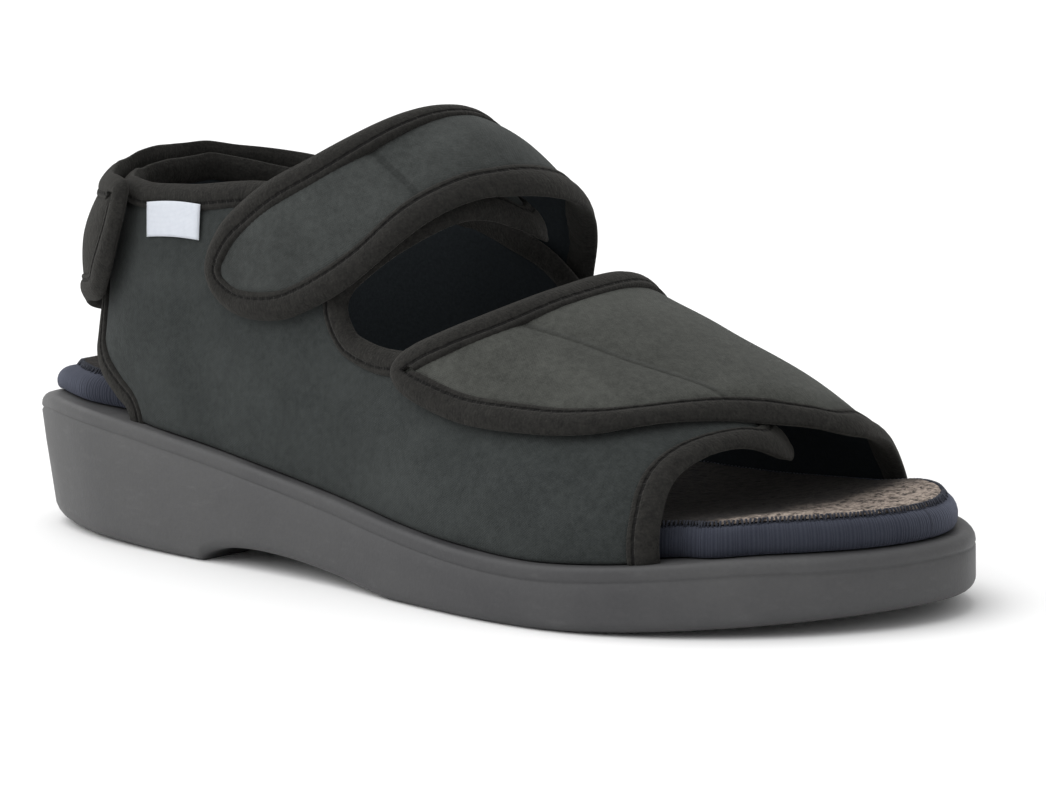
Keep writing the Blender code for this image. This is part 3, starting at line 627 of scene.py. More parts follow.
def felt_finish():
    """Speckled felt, light at the open toe, with a painted shadow behind it, where the flap and the upper
    cover it.
    """
    material, shader, place, flat = new_finish("wool_felt", 0.95, 0.05, (0.9, 0.85, 0.8, 1), 0.10)
    fibres = place.stretched(1.0, 0.55, 1.0).grain(0.0012, 4, 0.7)
    strands = place.stretched(0.5, 1.0, 1.0).grain(0.0009, 3, 0.65)
    flecks = place.grain(0.0021, 4, 0.75).between(0.50, 0.57)
    x, y, z = place.parts()
    blotches = place.grain(0.022, 2).between(0.35, 0.7)
    # Painted shadow: behind the line the felt is painted near black as the shade of the flap and the upper,
    # its edge wobbled by the blotch noise.
    painted_shadow_mask = 1 - (x + (blotches - 0.5) * 0.006).between(*PAINTED_SHADOW_EDGE)
    light = (fibres.between(0.36, 0.62) * 0.75 + blotches * 0.25).mix(FELT_MIDDLE, FELT_LIGHT)
    speckled = (flecks * (0.55 + 0.45 * strands.between(0.4, 0.6))).mix(light, FELT_DARK)
    colour = (painted_shadow_mask * 0.94).mix(speckled, FELT_PAINTED_SHADOW)
    lay_on(shader, colour, fibres + strands * 0.8, 0.00035)
    return material


felt = raised_from_grid("felt_top", felt_levels())
felt.data.materials.append(felt_finish())
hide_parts("footbed_cover")
cut_places = sole_stations(CUT_STATIONS)
outer_cut, inner_cut = (
    points - outward * cover_margin(cut_places)[:, None]
    for points, outward in (at_side(cut_places, -1), at_side(cut_places, 1))
)
cut_widths = inner_cut[:, 1] - outer_cut[:, 1]
cut_area = np.sum((cut_widths[1:] + cut_widths[:-1]) / 2 * np.diff(outer_cut[:, 0]))
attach(felt, "root")

# Overlock: navy thread that wraps over the edge of the felt in close slanted stitches, and holds it to the
# jersey. The machine cuts the edge as it sews, so the stitches reach a little unevenly into the felt.
STITCH_PITCH = 0.00100
STITCH_LINE_STATIONS = 900
STITCH_REACH = 0.0011
THREAD_RADIUS = 0.00027
THREAD_SIDES = 6
THREAD_COLOUR = (0.016, 0.0185, 0.029, 1)


def thread_bar(start, middle, end, radius):
    """The points and faces of one stitch: a short bent thread with closed ends."""
    start, middle, end = np.array(start), np.array(middle), np.array(end)
    path = [start, (start + middle) / 2, middle, (end + middle) / 2, end]
    ahead = end - start
    ahead /= np.linalg.norm(ahead)
    side = np.cross(ahead, (0, 0, 1))
    side /= np.linalg.norm(side)
    over = np.cross(side, ahead)
    points, faces = [], []
    for centre, share in zip(path, (0.55, 0.95, 1.0, 0.95, 0.55)):
        for turn in np.arange(THREAD_SIDES) / THREAD_SIDES * 2 * math.pi:
            points.append(centre + radius * share * (side * math.cos(turn) + over * math.sin(turn)))
    for first in range(0, len(points) - THREAD_SIDES, THREAD_SIDES):
        for i in range(THREAD_SIDES):
            j = (i + 1) % THREAD_SIDES
            faces.append((first + i, first + j, first + THREAD_SIDES + j, first + THREAD_SIDES + i))
    faces.append(tuple(range(THREAD_SIDES - 1, -1, -1)))
    faces.append(tuple(range(len(points) - THREAD_SIDES, len(points))))
    return points, faces


def mesh_piece(name, points, faces, flats=None, slots=None, seams=None):
    """A new object from points and faces, with flat maps and material slots where they are given."""
    mesh = bpy.data.meshes.new(name)
    mesh.from_pydata([tuple(p) for p in points], [], faces)
    corners = np.empty(len(mesh.loops), np.int32)
    mesh.loops.foreach_get("vertex_index", corners)
    for layer_name, values in (("flat", flats), ("seam", seams)):
        if values is not None:
            layer = mesh.uv_layers.new(name=layer_name)
            layer.data.foreach_set("uv", np.asarray(values, np.float32)[corners].ravel())
    if slots is not None:
        mesh.polygons.foreach_set("material_index", slots)
    mesh.validate()
    mesh.shade_smooth()
    obj = bpy.data.objects.new(name, mesh)
    bpy.context.scene.collection.objects.link(obj)
    return obj


def overlock():
    """Stitches all round the felt, each a little longer or shorter than the last and not quite square."""
    uneven = np.random.default_rng(4)
    points, faces = [], []
    fine = sole_stations(STITCH_LINE_STATIONS)
    for side in (-1, 1):
        edge, outward = at_side(fine, side)
        line = edge - outward * cover_margin(fine)[:, None]
        run = np.concatenate([[0], np.cumsum(np.linalg.norm(np.diff(line, axis=0), axis=1))])
        for at in np.arange(0.0003, run[-1], STITCH_PITCH):
            x, y = np.interp(at, run, line[:, 0]), np.interp(at, run, line[:, 1])
            ahead = np.array([np.interp(at + 0.0005, run, line[:, k]) for k in (0, 1)]) - (x, y)
            ahead /= np.linalg.norm(ahead)
            out = np.array([np.interp(at, run, outward[:, k]) for k in (0, 1)])
            base = float(footbed_top(x)) + COVER_THICKNESS
            reach = STITCH_REACH * uneven.uniform(0.6, 1.25)
            slant = uneven.uniform(-0.0003, 0.0006)

            def spot(outwards, forwards, height):
                plan = np.array((x, y)) + out * outwards + ahead * forwards
                return np.array((plan[0] - HEEL_SEAT, plan[1], base + height))

            bar, sides = thread_bar(
                spot(-reach * 0.6, slant, 0.0001),
                spot(0.0002, 0.0, 0.00014),
                spot(reach, -slant, -0.0011),
                THREAD_RADIUS,
            )
            faces += [tuple(i + len(points) for i in face) for face in sides]
            points += bar
    return mesh_piece("overlock_thread", points, faces)


def half_tone(colour):
    return tuple(c * 0.5 for c in colour[:3]) + (1,)


def thread_finish():
    """Navy thread with a fine twist."""
    material, shader, place, flat = new_finish("navy_thread", 0.75, 0.2, (0.7, 0.75, 0.9, 1), 0.3)
    twist = place.grain(0.0006, 2)
    lay_on(shader, twist.mix(half_tone(THREAD_COLOUR), THREAD_COLOUR), twist, 0.00008)
    return material


overlock_thread = overlock()
overlock_thread.data.materials.append(thread_finish())
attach(overlock_thread, "root")

# Upper: the body of the shoe, a sandwich of elastic face cloth, thin foam and dark lining, cut flat, lasted
# and closed into the sole. It is one piece that goes round the heel and ends in two tabs under the straps.
INSTEP_RISE = 0.080
TAPE_WIDTH = 0.0068
GIRTH_TO_LENGTH = 0.35
TAB_SINK = 0.0072
TAB_CURL = 0.0034
FOREPART_TAB_EDGE = 0.843
INSTEP_TAB_EDGE = 0.540
TABS_PART = 0.595
LAST_ROWS = 533
LAST_COLUMNS = 231
OUTLINE_STEP = 0.0010
PANEL_STEP = 0.0014
GIRTH_STEP = 0.0110
POINTS_AT_ONCE = 2000
LOW_GIRTH = 0.004
TOP_GIRTH = 1.996
HIDDEN_SHARE = 0.42
HIDDEN_STEP = 0.0014
OUTER_TUCK = 0.0006
INNER_TUCK = 0.0005
SWELL = 0.0007
SWELL_REACH = 0.0045
GROOVE = 0.00045
SEAM_CUTS = 40
# each a depth and a half width: the line that the stitches press, and the hollow that the seam draws in
SEAM_DENTS = [(0.0004, 0.0016), (0.0009, 0.0065)]
WALE_PITCH = 0.00075
COURSE_PITCH = 0.00060
STITCH_LENGTH = 0.0030
FACE_COLOUR = (0.0430, 0.0480, 0.0470, 1)
FACE_DARK = (0.0215, 0.0245, 0.0242, 1)
LINING_COLOUR = (0.0205, 0.0250, 0.0285, 1)

Section = namedtuple("Section", "along crown shift wall bulge outer inner")
# The last, cut across, in the order of Section's fields: the place as a share of LENGTH, the crown's height
# as a share of INSTEP_RISE, its shift to the inner side as a share of BALL_WIDTH, the wall's height and its
# bulge, and how far the two shoulders reach.
SECTIONS = [
    (0.161, 1.330, 0.000, 0.62, 1.03, 0.85, 0.85), (0.268, 1.368, 0.000, 0.62, 1.03, 0.85, 0.85),
    (0.357, 1.275, 0.000, 0.57, 1.04, 0.80, 0.80), (0.411, 1.160, 0.000, 0.52, 1.05, 0.73, 0.73),
    (0.468, 1.070, 0.009, 0.47, 1.05, 0.66, 0.68), (0.518, 1.012, 0.019, 0.42, 1.05, 0.62, 0.66),
    (0.557, 0.926, 0.028, 0.37, 1.05, 0.62, 0.66), (0.636, 0.668, 0.038, 0.30, 1.04, 0.66, 0.70),
    (0.714, 0.556, 0.047, 0.25, 1.03, 0.70, 0.72), (0.804, 0.424, 0.057, 0.21, 1.02, 0.72, 0.74),
    (0.857, 0.340, 0.053, 0.19, 1.02, 0.74, 0.60), (0.936, 0.225, 0.045, 0.15, 1.00, 0.74, 0.48),
]
HEEL_BACK = Section(0.0, 1.16, 0.000, 0.25, 0.37, 0.64, 0.64)

# The pattern, cut flat. Each place is a share of LENGTH around from the back of the heel, negative on the
# outer side, and a share of the girth from the sole's edge to the crown. A place given twice is a corner.
UPPER = [
    # toe edge of the outer side, up to the end of the forepart tab
    (-0.852, -0.120), (-0.852, -0.120), (-0.849, 0.100), (-0.847, 0.212), (-0.844, 0.305),
    (-0.843, 0.403), (-0.847, 0.526), (-0.853, 0.640), (-0.861, 0.750), (-0.870, 0.850),
    (-0.873, 0.930), (-0.869, 1.000), (-0.856, 1.065), (-0.830, 1.115), (-0.770, 1.140),
    (-0.690, 1.060), (-0.662, 0.940), (-0.640, 0.780), (-0.612, 0.610), (-0.576, 0.470),
    # throat, up to the end of the instep tab
    (-0.529, 0.408), (-0.491, 0.400), (-0.476, 0.420), (-0.468, 0.454), (-0.471, 0.493),
    (-0.484, 0.544), (-0.501, 0.605), (-0.521, 0.679), (-0.538, 0.760), (-0.554, 0.860),
    (-0.568, 0.970), (-0.577, 1.070), (-0.572, 1.150), (-0.550, 1.210), (-0.512, 1.160),
    (-0.474, 0.950), (-0.448, 0.820), (-0.416, 0.710), (-0.380, 0.635),
    # collar
    (-0.337, 0.583), (-0.284, 0.532), (-0.246, 0.512), (-0.210, 0.506), (-0.170, 0.516),
    (-0.120, 0.532), (-0.060, 0.574), (-0.030, 0.607), (0.000, 0.622), (0.030, 0.613),
    (0.060, 0.589), (0.120, 0.536), (0.170, 0.500), (0.210, 0.488), (0.270, 0.500),
    (0.335, 0.546), (0.400, 0.598), (0.460, 0.625), (0.510, 0.595), (0.545, 0.500),
    # the inner wall's front edge, which butts on the forepart flap
    (0.564, 0.380), (0.571, 0.250), (0.574, 0.100), (0.574, -0.120), (0.574, -0.120),
    # along the sole to the open heel
    (0.380, -0.120), (0.192, -0.120), (0.192, -0.120), (0.186, 0.000), (0.163, 0.036),
    (0.134, 0.075), (0.114, 0.122), (0.107, 0.175), (0.101, 0.232), (0.082, 0.262),
    (0.045, 0.275), (0.000, 0.278), (-0.045, 0.275), (-0.082, 0.262), (-0.101, 0.232),
    (-0.107, 0.175), (-0.114, 0.122), (-0.134, 0.075), (-0.163, 0.036), (-0.186, 0.000),
    (-0.192, -0.120), (-0.192, -0.120), (-0.400, -0.120), (-0.620, -0.120),
]


def read_table(rows, at, column):
    """A column of a table at many places, on a smooth curve through its rows."""
    places = np.array([row[0] for row in rows])
    values = np.array([row[column] for row in rows])
    slopes = np.gradient(values, places)
    at = np.clip(np.asarray(at, float), places[0], places[-1])
    i = np.clip(np.searchsorted(places, at) - 1, 0, len(places) - 2)
    width = places[i + 1] - places[i]
    t = (at - places[i]) / width
    return (
        values[i] * (2 * t**3 - 3 * t**2 + 1)
        + slopes[i] * width * (t**3 - 2 * t**2 + t)
        + values[i + 1] * (3 * t**2 - 2 * t**3)
        + slopes[i + 1] * width * (t**3 - t**2)
    )


FEATHER_LINE = {side: SIDES[side][0] - SIDES[side][1] * FEATHER for side in (-1, 1)}


def feather_width(x_back, side):
    line = FEATHER_LINE[side]
    order = np.argsort(line[:, 0], kind="stable")
    return float(np.interp(x_back, line[order, 0], line[order, 1]))


def feather_reach(angle):
    """From the middle of the heel to the feather line: angle 0 is the back, negative the outer side."""
    line = np.vstack([FEATHER_LINE[-1][::-1], FEATHER_LINE[1]])
    around = np.arctan2(line[:, 1], HEEL_TURN - line[:, 0])
    order = np.argsort(around)
    return float(np.interp(angle, around[order], np.hypot(line[:, 0] - HEEL_TURN, line[:, 1])[order]))


def half_arch(width, base, row, shift, shoulder):
    """Half a section as sideways places and heights, a function of the share of its length."""
    control = np.array(
        [
            (width, base),
            (width * row.bulge, base + row.wall * INSTEP_RISE),
            (shift + (width - shift) * shoulder, base + row.crown * INSTEP_RISE),
            (shift, base + row.crown * INSTEP_RISE),
        ]
    )

    def at(t):
        t = np.asarray(t)[:, None]
        return (
            control[0] * (1 - t) ** 3
            + 3 * control[1] * (1 - t) ** 2 * t
            + 3 * control[2] * (1 - t) * t**2
            + control[3] * t**3
        )

    fine = np.linspace(0, 1, 121)
    run = np.concatenate([[0], np.cumsum(np.linalg.norm(np.diff(at(fine), axis=0), axis=1))])
    start = (control[1] - control[0]) / np.linalg.norm(control[1] - control[0])

    def by_share(share):
        share = np.asarray(share, float)
        under = np.minimum(share, 0)[:, None] * run[-1] * start
        return at(np.interp(share * run[-1], run, fine)) + under

    return by_share, run[-1]


LAST_AROUND = np.linspace(-0.95, 0.95, LAST_ROWS) * LENGTH
LAST_GIRTH = np.linspace(-0.15, 2.15, LAST_COLUMNS)


def section_at(x_back):
    return Section(*(float(read_table(SECTIONS, x_back / LENGTH, column)) for column in range(7)))


def make_last():
    """The last's surface as a table of points, and the length of its near and far half at each row."""
    surface = np.zeros((len(LAST_AROUND), len(LAST_GIRTH), 3))
    halves = np.zeros((len(LAST_AROUND), 2))
    side_row = section_at(HEEL_TURN)
    for i, around in enumerate(LAST_AROUND):
        if abs(around) <= HEEL_TURN:
            angle = around / HEEL_TURN * math.pi / 2
            reach = feather_reach(angle)
            lean = math.cos(angle) ** 1.6
            row = Section(*(a + (b - a) * lean for a, b in zip(side_row, HEEL_BACK)))
            base = float(top_height(HEEL_TURN - reach * math.cos(angle)))
            arch, length = half_arch(reach, base, row, 0.0, row.outer)
            flat = arch(np.minimum(LAST_GIRTH, 1))
            surface[i, :, 0] = HEEL_TURN - HEEL_SEAT - flat[:, 0] * math.cos(angle)
            surface[i, :, 1] = flat[:, 0] * math.sin(angle)
            surface[i, :, 2] = flat[:, 1]
            halves[i] = length
            continue
        x_back = abs(around)
        side = -1 if around < 0 else 1
        row = section_at(x_back)
        base = float(top_height(x_back))
        shift = row.shift * BALL_WIDTH
        shoulder = {-1: row.outer, 1: row.inner}
        near, near_length = half_arch(feather_width(x_back, side), base, row, shift, shoulder[side])
        far, far_length = half_arch(feather_width(x_back, -side), base, row, shift, shoulder[-side])
        flat = np.where((LAST_GIRTH <= 1)[:, None], near(np.minimum(LAST_GIRTH, 1)), far(2 - LAST_GIRTH))
        surface[i, :, 0] = x_back - HEEL_SEAT
        surface[i, :, 1:] = flat
        halves[i] = near_length, far_length
    return surface, halves


LAST, HALVES = make_last()
FORWARD = np.gradient(LAST, axis=0)
UPWARD = np.gradient(LAST, axis=1)
OUTWARD = np.cross(UPWARD, FORWARD)
OUTWARD /= np.linalg.norm(OUTWARD, axis=2)[:, :, None] + 1e-12


def up_length(around, girth):
    """Length up the wall for a girth share."""
    near = np.interp(around, LAST_AROUND, HALVES[:, 0])
    far = np.interp(around, LAST_AROUND, HALVES[:, 1])
    return np.where(girth <= 1, girth * near, near + (girth - 1) * far)


def girth_share(around, length):
    near = np.interp(around, LAST_AROUND, HALVES[:, 0])
    far = np.interp(around, LAST_AROUND, HALVES[:, 1])
    return np.where(length <= near, length / near, 1 + (length - near) / far)


def on_last(around, girth, depth):
    """Points at a depth outside the last's surface."""
    i = np.clip((around - LAST_AROUND[0]) / (LAST_AROUND[1] - LAST_AROUND[0]), 0, len(LAST_AROUND) - 1.001)
    j = np.clip((girth - LAST_GIRTH[0]) / (LAST_GIRTH[1] - LAST_GIRTH[0]), 0, len(LAST_GIRTH) - 1.001)
    low_i, low_j = i.astype(int), j.astype(int)
    s, t = (i - low_i)[:, None], (j - low_j)[:, None]

    def read(table):
        return (
            table[low_i, low_j] * (1 - s) * (1 - t)
            + table[low_i + 1, low_j] * s * (1 - t)
            + table[low_i, low_j + 1] * (1 - s) * t
            + table[low_i + 1, low_j + 1] * s * t
        )

    outward = read(OUTWARD)
    outward /= np.linalg.norm(outward, axis=1)[:, None]
    return read(LAST) + outward * depth[:, None]


def cut_outline(places):
    """The pattern's outline in flat metres, with the number of its run at each point."""
    rows = [(around, girth * GIRTH_TO_LENGTH) for around, girth in places]
    drawn, runs = smooth_through(
        rows, lambda a, b: max(1, round(float(np.linalg.norm(b - a)) * LENGTH / OUTLINE_STEP))
    )
    around = drawn[:, 0] * LENGTH
    return np.stack([around, up_length(around, drawn[:, 1] / GIRTH_TO_LENGTH)], 1), runs


def edge_distance(points, line):
    """How far each point lies inside a closed line: it is negative outside."""
    start, end = line, np.roll(line, -1, 0)
    along = end - start
    squares = np.maximum((along**2).sum(1), 1e-14)
    distance = np.empty(len(points))
    inside = np.empty(len(points), bool)
    for first in range(0, len(points), POINTS_AT_ONCE):
        part = slice(first, first + POINTS_AT_ONCE)
        chunk = points[part, None, :]
        share = np.clip(((chunk - start) * along).sum(2) / squares, 0, 1)
        gap = chunk - (start + along * share[..., None])
        distance[part] = np.sqrt((gap**2).sum(2).min(1))
        x, y = chunk[..., 0], chunk[..., 1]
        crosses = (start[:, 1] > y) != (end[:, 1] > y)
        rise = np.where(along[:, 1] == 0, 1e-12, along[:, 1])
        at = start[:, 0] + (y - start[:, 1]) / rise * along[:, 0]
        inside[part] = (crosses & (x < at)).sum(1) % 2 == 1
    return np.where(inside, distance, -distance)


def tab_sink(around, girth):
    """How far the free ends of the two tabs drop into the shoe, and how their toe edges curl down."""
    ahead = -around / LENGTH
    at_instep = 1 - ease((ahead - TABS_PART) / 0.012)
    curl = ease((girth - 0.62) / 0.28) * (1 - 0.6 * ease((girth - 0.96) / 0.12))
    forepart = ease((ahead - FOREPART_TAB_EDGE) / 0.032)
    instep = 0.7 * ease((ahead - INSTEP_TAB_EDGE) / 0.034) * at_instep
    sunk = TAB_SINK * (1 - 0.35 * at_instep) * ease((girth - 0.80) / 0.45)
    return np.where(around > -HEEL_TURN, 0, -sunk - TAB_CURL * curl * (forepart + instep))


def creased(creases, around, girth):
    """Soft troughs and ridges. Each has its middle on the pattern, its turn in the flat in degrees, its half
    length, its half width and its height, which is negative for a trough."""
    total = np.zeros(len(around))
    length = up_length(around, girth)
    for middle_around, middle_girth, degrees, reach, width, height in creases:
        middle = np.array([middle_around * LENGTH])
        x = around - middle[0]
        y = length - up_length(middle, np.array([middle_girth]))[0]
        turn = math.radians(degrees)
        along = x * math.cos(turn) + y * math.sin(turn)
        across = y * math.cos(turn) - x * math.sin(turn)
        total += height * np.exp(-((along / reach) ** 2) - (across / width) ** 2)
    return total


def seam_places(places, around, girth):
    """For each point, how far along the seam it lies and how far to its one or other side, in the flat."""
    rows = [(k, *place) for k, place in enumerate(places)]
    fine = np.linspace(0, len(places) - 1, SEAM_CUTS)
    across = read_table(rows, fine, 1) * LENGTH
    drawn = np.stack([across, up_length(across, read_table(rows, fine, 2))], 1)
    points = np.stack([around, up_length(around, girth)], 1)
    found = np.tile((0.0, 1.0), (len(points), 1))
    travelled = 0.0
    for start, end in zip(drawn, drawn[1:]):
        ahead = end - start
        length = np.linalg.norm(ahead)
        share = np.clip(((points - start) @ ahead) / length**2, 0, 1)
        gap = points - start - share[:, None] * ahead
        side = np.sign(ahead[0] * gap[:, 1] - ahead[1] * gap[:, 0])
        distance = np.linalg.norm(gap, axis=1)
        nearer = distance < np.abs(found[:, 1])
        found[nearer] = np.stack([travelled + share * length, side * distance], 1)[nearer]
        travelled += length
    return found


def wall_panel(name, places, low, high, extra, creases, seam=None, step=PANEL_STEP, groove=GROOVE):
    """The cloth inside the tape: an outer and an inner face, laid on the last and joined round the edge,
    which lies hidden in the tape. Its second map runs along the seam and across it."""
    line = cut_outline(places)[0]
    columns = np.arange(line[:, 0].min(), line[:, 0].max(), step)
    top_girth = min(max(girth for _, girth in places), TOP_GIRTH)
    rows = np.linspace(LOW_GIRTH, top_girth, int(top_girth / (GIRTH_STEP * step / PANEL_STEP)) + 1)
    around, girth = (g.ravel() for g in np.meshgrid(columns, rows, indexing="ij"))
    length = up_length(around, girth)
    inside = edge_distance(np.stack([around, length], 1), line)
    keep = inside > TAPE_WIDTH * HIDDEN_SHARE
    hidden = ease((TAPE_WIDTH - inside) / HIDDEN_STEP)
    swell = SWELL * (1 - np.exp(-np.maximum(inside - TAPE_WIDTH, 0) / SWELL_REACH)) - groove
    lift = extra(around, girth) + creased(creases, around, girth)
    seam_map = np.tile((0.0, 1.0), (len(around), 1))
    if seam is not None:
        seam_map = seam_places(seam, around, girth)
        for depth, reach in SEAM_DENTS:
            lift = lift - depth * np.exp(-((seam_map[:, 1] / reach) ** 2))
    outer = on_last(around, girth, high + lift + swell - OUTER_TUCK * hidden)
    inner = on_last(around, girth, low + lift * 0.8 + INNER_TUCK * hidden)
    flats = np.stack([around, length], 1)
    count, per_column = len(around), len(rows)
    index = np.arange(count).reshape(len(columns), per_column)
    cells = np.stack([index[:-1, :-1], index[1:, :-1], index[1:, 1:], index[:-1, 1:]], 2).reshape(-1, 4)
    cells = cells[keep[cells].all(1)]
    used = np.unique(cells)
    renumber = np.full(count, -1)
    renumber[used] = np.arange(len(used))
    cells = renumber[cells]
    edges = dict.fromkeys(edge for a, b, c, d in cells.tolist() for edge in ((a, b), (b, c), (c, d), (d, a)))
    shift = len(used)
    faces = [tuple(cell) for cell in cells.tolist()]
    faces += [tuple(i + shift for i in reversed(cell)) for cell in cells.tolist()]
    rim = [(b, a, a + shift, b + shift) for a, b in edges if (b, a) not in edges]
    slots = [0] * len(cells) + [1] * (len(faces) - len(cells)) + [0] * len(rim)
    return mesh_piece(
        name,
        np.vstack([outer[used], inner[used]]),
        faces + rim,
        np.vstack([flats[used]] * 2),
        slots,
        np.vstack([seam_map[used]] * 2),
    )


def face_finish(name, face, dark):
    """Elastic face cloth: a close matt knit with a faint heather, slightly napped."""
    material, shader, place, flat = new_finish(name, 0.94, 0.08, (0.75, 0.78, 0.76, 1), 0.12)
    u, v, w = flat.parts()
    knit_across = u.wave(WALE_PITCH)
    knit_up = v.wave(COURSE_PITCH)
    nap_fine = place.grain(0.00045, 3, 0.6)
    heather = place.grain(0.0019, 3, 0.65)
    clouds = place.grain(0.017, 3).between(0.3, 0.75)
    seam = place.add("ShaderNodeUVMap", {"uv_map": "seam"}, {})
    along, across, w = seam.parts()
    pressed = 1 - across.distance().between(0.0001, 0.0011)
    stitched = along.wave(STITCH_LENGTH).between(-0.6, 0.1)
    # The seam's pressed line is painted darker: painted shade in its groove, a little deeper at each stitch.
    shade = heather * 1.30 + nap_fine * 1.10 + clouds * 0.40 - 0.94 - pressed * (0.42 + 0.10 * stitched)
    height = knit_across * knit_up * 0.20 + nap_fine * 1.0 + heather * 0.8 - pressed * (2.2 + 0.5 * stitched)
    lay_on(shader, shade.mix(dark, face), height, 0.00018)
    return material


def lining_finish():
    """Dark brushed lining."""
    material, shader, place, flat = new_finish("dark_lining", 0.9, 0.04, (0.5, 0.6, 0.7, 1), 0.1)
    brushed = place.grain(0.0009, 3)
    lay_on(shader, brushed.mix(half_tone(LINING_COLOUR), LINING_COLOUR), brushed, 0.0001)
    return material


FACE_CLOTH = face_finish("face_cloth", FACE_COLOUR, FACE_DARK)
LINING = lining_finish()
UPPER_CREASES = [
    (-0.655, 0.23, 78, 0.020, 0.0075, -0.0007), (-0.610, 0.22, 82, 0.018, 0.0080, 0.0005),
    (-0.500, 0.20, 70, 0.020, 0.0100, -0.0006), (-0.300, 0.17, 95, 0.020, 0.0100, -0.0005),
    (-0.245, 0.28, 84, 0.024, 0.0080, 0.0005), (-0.400, 0.33, 60, 0.018, 0.0090, -0.0005),
    (-0.770, 0.20, 85, 0.016, 0.0080, -0.0005), (0.300, 0.25, 90, 0.022, 0.0110, -0.0006),
    (0.450, 0.25, 85, 0.022, 0.0110, 0.0005),
]
upper = wall_panel("upper_cloth", UPPER, -WALL, 0.0, tab_sink, UPPER_CREASES)
upper.data.materials.append(FACE_CLOTH)
upper.data.materials.append(LINING)
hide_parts("upper")
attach(upper, "root")

# Edge tape: a folded stretch-knit tape that wraps round every free edge of the upper and of the straps. It is
# sewn through near its inner fold, and stands a little over the cloth.
TAPE_COLOUR = (0.0290, 0.0280, 0.0255, 1)
TAPE_DARK = (0.0085, 0.0083, 0.0082, 1)
TAPE_STITCH_LINE = 0.0052
TAPE_STITCH_REACH = 0.00245
TAPE_RIB_PITCH = 0.00090
TAPE_WAVER = 0.00020
TAPE_SMOOTHING = 18
# the numbers of the places in the upper's pattern where a bound edge starts and ends
BOUND_FROM = 1.35
BOUND_TO = 62.65
HEEL_OPENING_FROM = 65.4
HEEL_OPENING_TO = 85.0


def tape_profile(thickness):
    """Round the tape's section: how far inside the edge a point lies, and its height over the inner face."""
    return [
        (0.0069, thickness - 0.0008), (0.0067, thickness - 0.0001), (0.0063, thickness + 0.00025),
        (0.0058, thickness + 0.00030), (TAPE_STITCH_LINE, thickness + 0.00008), (0.0046, thickness + 0.00040),
        (0.0038, thickness + 0.00055), (0.0029, thickness + 0.00050), (0.0020, thickness + 0.00025),
        (0.0012, thickness - 0.00025), (0.0006, thickness - 0.00090), (0.00015, thickness * 0.60),
        (0.0000, thickness * 0.46), (0.00015, thickness * 0.32), (0.0006, 0.00075), (0.0012, 0.00020),
        (0.0021, -0.00015), (0.0034, -0.00030), (0.0052, -0.00025), (0.0066, -0.00005), (0.0069, 0.00060),
    ]


def faced_outward(obj):
    bpy.ops.object.select_all(action="DESELECT")
    obj.select_set(True)
    bpy.context.view_layer.objects.active = obj
    bpy.ops.object.mode_set(mode="EDIT")
    bpy.ops.mesh.select_all(action="SELECT")
    bpy.ops.mesh.normals_make_consistent(inside=False)
    bpy.ops.object.mode_set(mode="OBJECT")
    return obj


def tape(name, places, low, high, extra, start=None, end=None):
    """A tape along the outline of a pattern, all the way round or from one place's number to another's."""
    line, runs = cut_outline(places)
    closed = start is None
    area = float(np.sum(line[:, 0] * np.roll(line[:, 1], -1) - np.roll(line[:, 0], -1) * line[:, 1]))
    left_is_inside = 1 if area > 0 else -1
    run = np.roll(line, -3, 0) - np.roll(line, 3, 0)
    inward = np.stack([-run[:, 1], run[:, 0]], 1) * left_is_inside
    inward /= np.linalg.norm(inward, axis=1)[:, None]
    if not closed:
        chosen = (runs >= start) & (runs <= end) if start < end else (runs >= start) | (runs <= end)
        order = np.argsort((runs - start) % len(places))
        order = order[chosen[order]]
        line, inward = line[order], inward[order]
    for _ in range(TAPE_SMOOTHING):
        meant = (np.roll(inward, 1, 0) + inward + np.roll(inward, -1, 0)) / 3
        if not closed:
            meant[[0, -1]] = inward[[0, -1]]
        inward = meant / np.linalg.norm(meant, axis=1)[:, None]
    turned = inward[:-2, 0] * inward[2:, 1] - inward[:-2, 1] * inward[2:, 0]
    bend = turned / np.maximum(np.linalg.norm(line[2:] - line[:-2], axis=1), 1e-6) * left_is_inside
    # at a tight turn the tape's inner edge stops short of the turn's middle, so that it doesn't fold over
    room = 0.9 / np.maximum(np.concatenate([[1e-3], bend, [1e-3]]), 1e-3)
    room = np.array([room[max(0, i - 5) : i + 6].min() for i in range(len(room))])
    profile = tape_profile(high - low)
    travelled = np.concatenate([[0], np.cumsum(np.linalg.norm(np.diff(line, axis=0), axis=1))])
    waver = TAPE_WAVER * (np.sin(travelled / 0.0041) + 0.8 * np.sin(travelled / 0.0094 + 1.3))
    points, flats = [], []
    across = np.concatenate([[0], np.cumsum(np.linalg.norm(np.diff(np.array(profile), axis=0), axis=1))])
    for (inset, height), reach in zip(profile, across):
        flat = line + inward * np.minimum(inset, room)[:, None]
        girth = girth_share(flat[:, 0], flat[:, 1])
        depth = low + height + waver * min(1, inset / 0.004) + extra(flat[:, 0], girth)
        points.append(on_last(flat[:, 0], girth, depth))
        flats.append(np.stack([travelled, np.full(len(line), reach)], 1))
    count, sides = len(line), len(profile)
    points = np.stack(points, 1).reshape(-1, 3)
    flats = np.stack(flats, 1).reshape(-1, 2)
    faces = []
    for i in range(count if closed else count - 1):
        k = (i + 1) % count
        for j in range(sides):
            m = (j + 1) % sides
            faces.append((i * sides + j, i * sides + m, k * sides + m, k * sides + j))
    if not closed:
        faces.append(tuple(range(sides - 1, -1, -1)))
        faces.append(tuple(range((count - 1) * sides, count * sides)))
    obj = mesh_piece(name, points, faces, flats)
    return faced_outward(obj)


